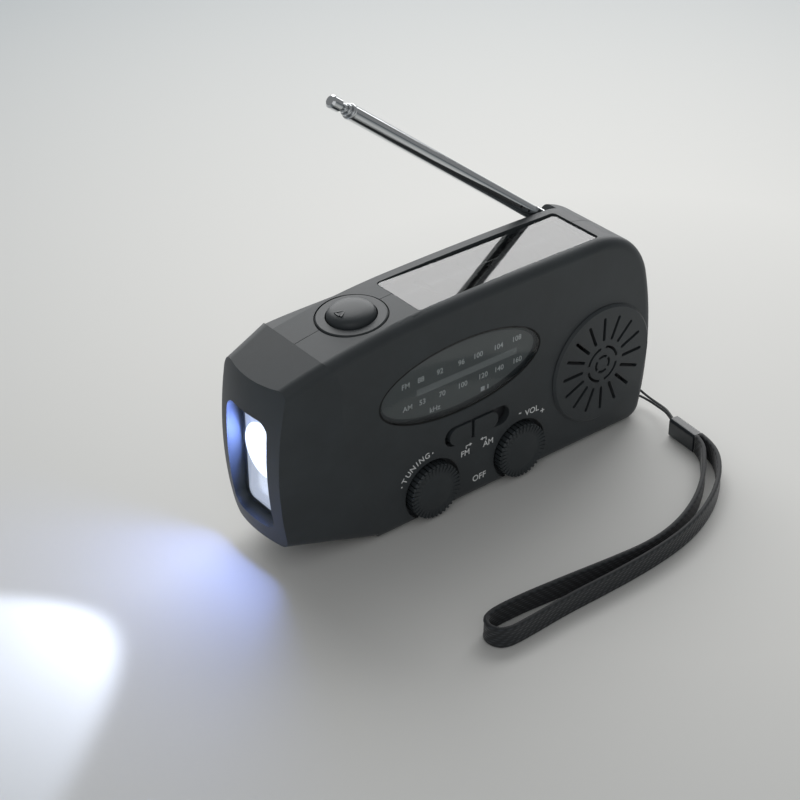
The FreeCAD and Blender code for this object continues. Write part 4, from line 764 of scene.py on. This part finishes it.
    def symbol(self, work: bmesh.types.BMesh) -> None:
        """Raises the torch sign on the button, about the button's centre.

        Args:
            work: The bmesh to fill.
        """
        bars = ((-3.2, 0.6, 2.4, 0.5, -0.5), (-3.0, -0.9, 2.6, 0.5, 0.5), (-4.2, -0.2, 0.5, 1.6, 0.0),
                (-1.0, 0.0, 1.8, 0.5, 0.0))
        for x, y, wide, deep, turn in bars:
            bar(work, mm(x, y, self.sign_z), mm(wide, deep, 0.5), turn)


@dataclass
class Dial:
    """The elliptical window, the printed foil and strip behind it and the pointer."""

    numbers: tuple[Mark, ...] = (
        Mark("FM", -24.0, 43.3), Mark("88", -19.1, 43.4), Mark("92", -12.9, 43.4),
        Mark("96", -5.8, 43.4), Mark("100", -0.2, 43.4), Mark("104", 6.7, 43.4),
        Mark("108", 13.0, 43.5), Mark("AM", -23.4, 36.5), Mark("53", -18.6, 36.5),
        Mark("70", -12.1, 36.4), Mark("100", -5.3, 36.4), Mark("120", 1.6, 36.5),
        Mark("140", 7.1, 36.5), Mark("160", 13.4, 36.7), Mark("kHz", -14.5, 32.8))
    centre: tuple[float, float] = (-6.4, 40.2)
    sign_z: float = 32.5
    sign_high: float = 1.3
    border_half: tuple[float, float] = (26.98, 10.88)
    border_w: float = 0.6
    border_sink: float = 0.1
    mask_half: tuple[float, float] = (26.7, 10.6)
    strip: tuple[float, float, float, float] = (-20.4, 13.2, 38.8, 40.8)
    steps: int = 96

    def build(self) -> None:
        """Dresses the nodes and adds the printed foil, its strip and the dark border, a ring of painted
        shade for the gap round the window.
        """
        # Polished acrylic: clear face on, with a faint shine where it turns away.
        window = ClearPlastic("acrylic_dial_window", roughness=0.06, gloss=1.35).build()
        # Coated card: pale grey and matt, seen through the slot alone.
        card = MouldedPlastic("printed_card", Hue.DIAL_BAND, Hue.DIAL_BAND, grain_mm=0.5,
                              depth_mm=0.01, roughness=0.55).build()
        # White acetal: the brightest spot behind the strip.
        white = MouldedPlastic("white_acetal", Hue.POINTER, Hue.POINTER, roughness=0.4).build()
        # Screen-printed polyester foil: an even mid grey that sets off the numbers.
        foil = MouldedPlastic("printed_foil", Hue.DIAL, Hue.DIAL, grain_mm=0.6, depth_mm=0.01,
                              roughness=0.5).build()
        # Pale screen-printing ink, and black for the rim: painted shade standing in for the dark gap
        # between the window and the case.
        ink = Ink("dial_ink", Hue.DIAL_PRINT).build()
        black = Ink("painted_gap_shade", Hue.PAINTED_GAP_SHADE).build()
        frost = FrostedStrip("frosted_polycarbonate", Hue.DIAL_BAND).build()
        dress(("dial_window",), window)
        dress(("dial_plate",), card)
        dress(("dial_pointer",), white)
        for name, shaper, finish in (
                ("dial_foil", self.fill_foil, foil), ("dial_numbers", self.print_numbers, ink),
                ("dial_strip", self.fill_strip, frost), ("dial_border", self.fill_border, black)):
            piece(name, shaper, finish, smooth=False)

    def print_numbers(self, work: bmesh.types.BMesh) -> None:
        """Prints the numbers and the small lamp sign.

        Args:
            work: The bmesh to fill.
        """
        glyphs(work, self.numbers, Lay.DIAL)
        for x, wide in ((1.6, 1.3), (3.4, 0.4)):
            bar(work, mm(x, Lay.DIAL.value - INK_T / 2, self.sign_z), mm(wide, INK_T, self.sign_high))

    def stand(self, work: bmesh.types.BMesh, y: float) -> None:
        """Turns a flat shape upright round the dial's centre and gives it the foil's thickness.

        Args:
            work: The bmesh, drawn flat about the origin.
            y: Where its front face stands, in millimetres.
        """
        grown = bmesh.ops.extrude_face_region(work, geom=work.faces[:])
        verts = [g for g in grown["geom"] if isinstance(g, bmesh.types.BMVert)]
        bmesh.ops.translate(work, vec=mm(0, 0, -PLATE_T), verts=verts)
        spot = Matrix.Translation(mm(self.centre[0], y, self.centre[1]))
        bmesh.ops.transform(work, matrix=spot @ Matrix.Rotation(math.pi / 2, 4, "X"),
                            verts=work.verts)

    def fill_foil(self, work: bmesh.types.BMesh) -> None:
        """Cuts the printed ellipse and opens it where the strip is.

        Args:
            work: The bmesh to fill.
        """
        x0, x1, z0, z1 = self.strip
        cx, cz = self.centre
        bmesh.ops.create_circle(work, cap_ends=True, segments=self.steps, radius=MM)
        bmesh.ops.scale(work, vec=Vector((*self.mask_half, 1.0)), verts=work.verts)
        for at, normal in ((mm(x0 - cx, 0, 0), (1, 0, 0)), (mm(x1 - cx, 0, 0), (1, 0, 0)),
                           (mm(0, z0 - cz, 0), (0, 1, 0)), (mm(0, z1 - cz, 0), (0, 1, 0))):
            parts = work.verts[:] + work.edges[:] + work.faces[:]
            bmesh.ops.bisect_plane(work, geom=parts, plane_co=at, plane_no=normal)
        inside = []
        for face in work.faces:
            middle = face.calc_center_median() / MM
            if x0 - cx < middle.x < x1 - cx and z0 - cz < middle.y < z1 - cz:
                inside.append(face)
        bmesh.ops.delete(work, geom=inside, context="FACES")
        self.stand(work, Lay.DIAL.value + PLATE_T)

    def fill_strip(self, work: bmesh.types.BMesh) -> None:
        """Sets the frosted strip behind the foil.

        Args:
            work: The bmesh to fill.
        """
        x0, x1, z0, z1 = self.strip
        bar(work, mm((x0 + x1) / 2, Lay.DIAL.value + 2 * PLATE_T, (z0 + z1) / 2),
            mm(x1 - x0, PLATE_T, z1 - z0))

    def fill_border(self, work: bmesh.types.BMesh) -> None:
        """Rims the window in black along its edge, as painted shade for the gap between the window and
        the case.

        Args:
            work: The bmesh to fill.
        """
        rings = []
        for shrink in (0.0, self.border_w):
            made = bmesh.ops.create_circle(work, segments=self.steps, radius=MM)
            half = Vector((self.border_half[0] - shrink, self.border_half[1] - shrink, 1.0))
            bmesh.ops.scale(work, vec=half, verts=made["verts"])
            rings += dict.fromkeys(edge for vert in made["verts"] for edge in vert.link_edges)
        bmesh.ops.bridge_loops(work, edges=rings)
        self.stand(work, Lay.FRONT.value + self.border_sink)


@dataclass
class Solar:
    """Solar panel under its clear cover."""

    def build(self) -> None:
        """Dresses the nodes."""
        dress(("solar_cell",), SolarCell("thin_film_cell").build())
        # Polished acrylic sheet: it mirrors the lamp behind the radio and hides most of the cell.
        cover = ClearPlastic("acrylic_solar_cover", roughness=0.05, gloss=1.6, base=0.04)
        dress(("solar_window",), cover.build())


@dataclass
class Torch:
    """Lens, plated reflector and lit lamp."""

    face_x: float = -58.1
    axis_y: float = 2.0
    axis_z: float = 30.7
    bowl_r: float = 7.1
    depth: float = 7.9
    hole_r: float = 2.7
    gap: float = 0.06
    rim_gap: float = 0.08
    bowl_rings: int = 14
    rim: tuple[tuple[float, float], ...] = ((-0.35, 0.05), (-0.45, 0.25), (-0.35, 0.45), (0.0, 0.6))

    def build(self) -> None:
        """Dresses the nodes and adds the bowl, its rim and the lamps."""
        # Vacuum-plated ABS: a mirror with a painted glow standing in for the lamp's light, brightest in
        # the bowl.
        plated = Metal("vacuum_plated_abs", Hue.CHROME, 0.16, lit=0.55).build()
        painted_glow_plating = Metal("vacuum_plated_abs_painted_glow", Hue.CHROME, 0.12, lit=1.6).build()
        dress(("torch_reflector",), plated)
        # Polished acrylic: nearly unseen in front of the light.
        dress(("torch_lens",), ClearPlastic("acrylic_torch_lens", roughness=0.02).build())
        dress(("torch_led",), Glow("lit_epoxy", Hue.LAMP, 30.0).build())
        piece("reflector_bowl", self.bowl, painted_glow_plating)
        self.lamp("lamp_glow", Hue.LAMP_HAZE, power=0.05, x=-57.0, radius=3.0, cone=178.0)
        self.lamp("lamp_beam", Hue.LAMP, power=0.45, x=-60.0, radius=2.0, cone=70.0)

    def bowl(self, work: bmesh.types.BMesh) -> None:
        """Spins the bowl, a parabola with its deep end open for the lamp, and its raised rim.

        Args:
            work: The bmesh to fill.
        """
        focus = self.bowl_r ** 2 / (4 * self.depth)
        back_x = self.face_x - self.gap + self.depth
        profile = []
        for i in range(self.bowl_rings + 1):
            r = self.hole_r + (self.bowl_r - self.rim_gap - self.hole_r) * i / self.bowl_rings
            profile.append(mm(back_x - r * r / (4 * focus), self.axis_y, self.axis_z + r))
        for out, up in self.rim:
            profile.append(mm(self.face_x + out, self.axis_y, self.axis_z + self.bowl_r + up))
        spun(work, profile, mm(0, self.axis_y, self.axis_z), Vector((1, 0, 0)), 64)

    def lamp(self, name: str, hue: Hue, power: float, x: float, radius: float, cone: float) -> None:
        """Adds a lamp that shines out of the torch.

        Args:
            name: The lamp's name.
            hue: Its colour.
            power: Its power in watts.
            x: Where it stands on the torch axis, in millimetres.
            radius: Size of the source, in millimetres.
            cone: Full angle of the beam, in degrees.
        """
        data = bpy.data.lights.new(name, "SPOT")
        data.energy = power
        data.color = linear(hue)[:3]
        data.shadow_soft_size = radius * MM
        data.spot_size = math.radians(cone)
        data.spot_blend = 0.25
        put(name, data, Matrix.Translation(mm(x, self.axis_y, self.axis_z))
            @ Matrix.Rotation(math.pi / 2, 4, "Y"))


@dataclass
class Antenna:
    """Plated telescopic antenna with its crimp marks."""

    pivot: tuple[float, float, float] = (42.9, 12.2, 59.3)
    rest: float = 37.6
    crimps: tuple[float, ...] = (7.9, 11.4)
    crimp_r: float = 0.42
    crimp_flat: float = 0.35
    crimp_y: float = 1.96
    mouths: tuple[tuple[str, float, float], ...] = (
        ("antenna", 81.5, 2.0), ("antenna_first", 82.6, 1.55), ("antenna_second", 83.7, 1.1))
    lip_outline: tuple[tuple[float, float], ...] = (
        (0.9, -0.02), (0.75, 0.07), (0.3, 0.09), (-0.02, 0.02), (-0.05, -0.22))

    def build(self) -> None:
        """Dresses the sections and adds the crimps and the rolled lips."""
        # Drawn brass tube under nickel and chrome: a bright mirror drawn out along the tube.
        chrome = Metal("plated_brass_tube", Hue.CHROME, 0.1, mark_mm=0.6).build()
        # Dark metal in the crimp dents: painted shade, so that the crimps read as small dark dents.
        dark = Metal("crimp_painted_shade", Hue.MAGNET, 0.5).build()
        dress(("antenna_base", "antenna_section_1", "antenna_section_2", "antenna_section_3"), chrome)
        lean = Matrix.Rotation(math.radians(self.rest), 4, "Y")
        place = Matrix.Translation(mm(*self.pivot)) @ lean
        piece("antenna_crimps", self.dimples, dark, "antenna", place)
        for body, at, radius in self.mouths:
            piece("rolled_lip_" + body, lambda work: self.lip(work, at, radius), chrome,
                  body, place)

    def dimples(self, work: bmesh.types.BMesh) -> None:
        """Sets the two crimp marks on each side of the tube.

        Args:
            work: The bmesh to fill.
        """
        for along in self.crimps:
            for side in (-1, 1):
                made = bmesh.ops.create_uvsphere(work, u_segments=16, v_segments=10,
                                                 radius=self.crimp_r * MM)
                bmesh.ops.scale(work, vec=Vector((1, self.crimp_flat, 1)), verts=made["verts"])
                bmesh.ops.translate(work, vec=mm(-along, side * self.crimp_y, 0.0),
                                    verts=made["verts"])

    def lip(self, work: bmesh.types.BMesh, at: float, radius: float) -> None:
        """Spins the rolled lip at the mouth of a tube.

        Args:
            work: The bmesh to fill.
            at: Distance of the mouth from the pivot.
            radius: Outer radius of the tube.
        """
        outline = [mm(-at + along, 0, radius + out) for along, out in self.lip_outline]
        spun(work, outline, Vector((0, 0, 0)), Vector((1, 0, 0)), 40)


@dataclass
class Strap:
    """Wrist strap: doubled thread, clasp and one long loop of woven tape standing on its edge."""

    thread_r: float = 0.35
    tape_w: float = 6.0
    tape_t: float = 1.3
    thread: tuple[tuple[float, float, float], ...] = (
        (61.4, -26.05, 4.6), (63.7, -21.8, 4.6), (65.1, -17.0, 3.7), (65.2, -12.0, 3.9),
        (65.0, -7.4, 5.15), (60.35, -6.6, 5.15), (60.35, -6.6, 2.65), (65.0, -7.4, 2.65),
        (65.2, -12.0, 2.95), (65.1, -17.0, 2.75), (63.7, -21.8, 3.6), (61.4, -26.05, 3.6))
    tape: tuple[tuple[float, float], ...] = (
        (61.15, -36.8), (60.6, -41.2), (57.6, -47.0), (51.2, -53.4), (41.5, -59.6),
        (29.0, -64.2), (15.0, -66.0), (0.0, -66.3), (-15.0, -65.9), (-28.0, -66.4),
        (-36.2, -66.4), (-38.5, -62.4), (-36.2, -58.4), (-26.0, -58.5), (-12.0, -60.0),
        (2.0, -61.8), (15.0, -63.1), (26.5, -61.6), (37.5, -57.4), (47.0, -51.4),
        (54.4, -44.6), (58.5, -40.2), (59.65, -36.65))
    # Half of the tape's section on one side: across as a share of half its thickness, and
    # the distance from its edge.
    roll: tuple[tuple[float, float], ...] = ((0.55, 0.0), (0.95, 0.35), (1.0, 0.8), (0.8, 1.4))

    def build(self) -> None:
        """Makes the thread and the tape and dresses the clasp."""
        # Moulded nylon from a polished mould: dark, with one clear highlight.
        gloss = MouldedPlastic("glossy_nylon", Hue.CLASP, Hue.CASE_DUST, grain_mm=0.8,
                               depth_mm=0.01, roughness=0.22)
        dress(("strap_clasp",), gloss.build())
        self.make_thread()
        self.make_tape()

    @staticmethod
    def curve(name: str, route: Sequence[Vector]) -> bpy.types.Curve:
        """Makes one smooth open curve along a route.

        Args:
            name: The curve's name.
            route: Its control points in metres.

        Returns:
            The curve, without thickness.
        """
        data = bpy.data.curves.new(name, "CURVE")
        data.dimensions = "3D"
        data.resolution_u = 16
        spline = data.splines.new("NURBS")
        spline.points.add(len(route) - 1)
        for point, spot in zip(spline.points, route):
            point.co = (spot.x, spot.y, spot.z, 1.0)
        spline.order_u = 3
        spline.use_endpoint_u = True
        return data

    def make_thread(self) -> None:
        """Makes the doubled thread from the clasp round the bar and back."""
        data = self.curve("strap_cord", [mm(*p) for p in self.thread])
        data.bevel_depth = self.thread_r * MM
        data.bevel_resolution = 4
        data.use_fill_caps = True
        # Twisted polyester thread under wax: matt black, with its twist as a fine grain.
        cord = MouldedPlastic("waxed_thread", Hue.WEAVE, Hue.WEAVE_LIGHT, grain_mm=0.3,
                              depth_mm=0.05, roughness=0.6)
        data.materials.append(cord.build())
        obj = settle(bpy.data.objects.new("strap_cord", data))
        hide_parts("strap_thread")

    def make_tape(self) -> None:
        """Makes the woven tape along points read from its smooth route."""
        route = [mm(x, y, self.tape_w / 2) for x, y in self.tape]
        holder = bpy.data.objects.new("tape_route", self.curve("tape_route", route))
        mesh = bpy.data.meshes.new_from_object(holder)
        path = [v.co.copy() for v in mesh.vertices]
        bpy.data.objects.remove(holder)
        bpy.data.meshes.remove(mesh)
        weave = Weave("woven_polyester").build()
        obj = piece("strap_tape", lambda work: self.sweep(work, path), weave)
        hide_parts("strap_band")
        LOG.info("tape length %.4f", sum((b - a).length for a, b in zip(path, path[1:])))

    def section(self) -> list[tuple[float, float]]:
        """Draws the tape's section, with a thicker rolled edge along both sides.

        Returns:
            Points across and up, once round.
        """
        half = self.tape_w / 2
        thick = self.tape_t / 2
        low = [(thick * share, -half + up) for share, up in self.roll]
        side = low + [(across, -up) for across, up in reversed(low)]
        return side + [(-across, up) for across, up in reversed(side)]

    def sweep(self, work: bmesh.types.BMesh, path: Sequence[Vector]) -> None:
        """Carries the section along the route and maps it in millimetres.

        Args:
            work: The bmesh to fill.
            path: Points of the route.
        """
        rings = []
        outline = self.section()
        count = len(outline)
        for i, spot in enumerate(path):
            along = (path[min(i + 1, len(path) - 1)] - path[max(i - 1, 0)]).normalized()
            across = Vector((-along.y, along.x, 0.0))
            rings.append([work.verts.new(spot + across * a * MM + Vector((0, 0, b * MM)))
                          for a, b in outline])
        loops = [[work.edges.new((ring[k], ring[(k + 1) % count])) for k in range(count)]
                 for ring in rings]
        for first, second in zip(loops, loops[1:]):
            bmesh.ops.bridge_loops(work, edges=first + second)
        for ring in (rings[0], rings[-1]):
            work.faces.new(ring)
        chart = work.loops.layers.uv.new("strip")
        gone = 0.0
        place = {}
        for i, ring in enumerate(rings):
            gone += (path[i] - path[i - 1]).length / MM if i else 0.0
            for k, vert in enumerate(ring):
                place[vert] = (gone, outline[k][1])
        for face in work.faces:
            for loop in face.loops:
                loop[chart].uv = place[loop.vert]


@dataclass
class Studio:
    """Pale floor, soft lamps and the camera at the photograph's viewing angle."""

    eye: tuple[float, float, float] = (-263.502, -317.056, 291.179)
    right: tuple[float, float, float] = (0.785887, -0.618340, -0.006073)
    up: tuple[float, float, float] = (0.341029, 0.425200, 0.838394)
    back: tuple[float, float, float] = (-0.515830, -0.660954, 0.545031)
    lens: float = 82.368
    sensor: float = 36.0
    aim: tuple[float, float, float] = (0.0, 0.0, 30.0)
    air: tuple[float, float, float, float] = (0.84, 0.85, 0.86, 1.0)
    air_strength: float = 0.3
    floor_half: float = 2.0

    def build(self) -> None:
        """Builds the whole studio."""
        bpy.context.scene.view_settings.view_transform = "Standard"
        self.camera()
        self.floor()
        self.world()
        self.softbox("back_softbox", (450, 590, 500), (1250, 850), 10.0)
        self.softbox("front_fill", (-700, -700, 600), (900, 900), 1.3)

    def camera(self) -> None:
        """Adds the camera."""
        data = bpy.data.cameras.new("camera")
        data.lens = self.lens
        data.sensor_width = self.sensor
        data.clip_start = 0.01
        turn = Matrix((self.right, self.up, self.back)).transposed().to_4x4()
        camera = put("camera", data, Matrix.Translation(mm(*self.eye)) @ turn)
        bpy.context.scene.camera = camera

    def floor(self) -> None:
        """Adds the floor, with painted shade that darkens it away from the object."""
        # Matt emulsion on board: pale grey, with painted shade that darkens it away from the object
        # where the light falls off.
        material, tree, out = blank("emulsion_board_painted_shade")
        place = add(tree, "ShaderNodeTexCoord")
        spot = add(tree, "ShaderNodeMapping", {
            "Vector": place.outputs["Object"], "Location": (-0.15, 0.0, 0.0),
            "Scale": (2.0, 2.0, 2.0)})
        painted_falloff = add(tree, "ShaderNodeTexGradient", {"Vector": spot.outputs["Vector"]},
                   gradient_type="SPHERICAL")
        tint = add(tree, "ShaderNodeValToRGB", {"Fac": painted_falloff.outputs["Fac"]})
        shade(tint, (Hue.FLOOR_PAINTED_SHADE, Hue.FLOOR), (0.05, 0.75))
        skin = add(tree, "ShaderNodeBsdfPrincipled", {
            "Base Color": tint.outputs["Color"], "Roughness": 0.7, "Specular IOR Level": 0.2})
        tree.links.new(skin.outputs["BSDF"], out.inputs["Surface"])
        mesh = bpy.data.meshes.new("studio_floor")
        work = bmesh.new()
        bmesh.ops.create_grid(work, x_segments=1, y_segments=1, size=self.floor_half)
        work.to_mesh(mesh)
        work.free()
        mesh.materials.append(material)
        put("studio_floor", mesh)

    def world(self) -> None:
        """Sets the even light from all round."""
        world = bpy.data.worlds.new("studio_air")
        world.use_nodes = True
        tree = world.node_tree
        tree.nodes.clear()
        air = add(tree, "ShaderNodeBackground", {"Color": self.air, "Strength": self.air_strength})
        add(tree, "ShaderNodeOutputWorld", {"Surface": air.outputs["Background"]})
        bpy.context.scene.world = world

    def softbox(self, name: str, spot: tuple[float, float, float], size: tuple[float, float],
                power: float) -> None:
        """Adds a rectangular lamp that faces the radio.

        Args:
            name: The lamp's name.
            spot: Where it stands, in millimetres.
            size: Its width and height, in millimetres.
            power: Its power in watts.
        """
        data = bpy.data.lights.new(name, "AREA")
        data.shape = "RECTANGLE"
        data.size = size[0] * MM
        data.size_y = size[1] * MM
        data.energy = power
        facing = (mm(*self.aim) - mm(*spot)).to_track_quat("-Z", "Y").to_matrix().to_4x4()
        put(name, data, Matrix.Translation(mm(*spot)) @ facing)


def main() -> None:
    """Builds the sub-assemblies in order."""
    logging.basicConfig(level=logging.INFO)
    for part in (Inside(), Case(), Dial(), Solar(), Torch(), Antenna(), Strap(), Studio()):
        part.build()
        LOG.info("%s done", type(part).__name__)
    bpy.context.view_layer.update()


if __name__ == "__main__":
    main()
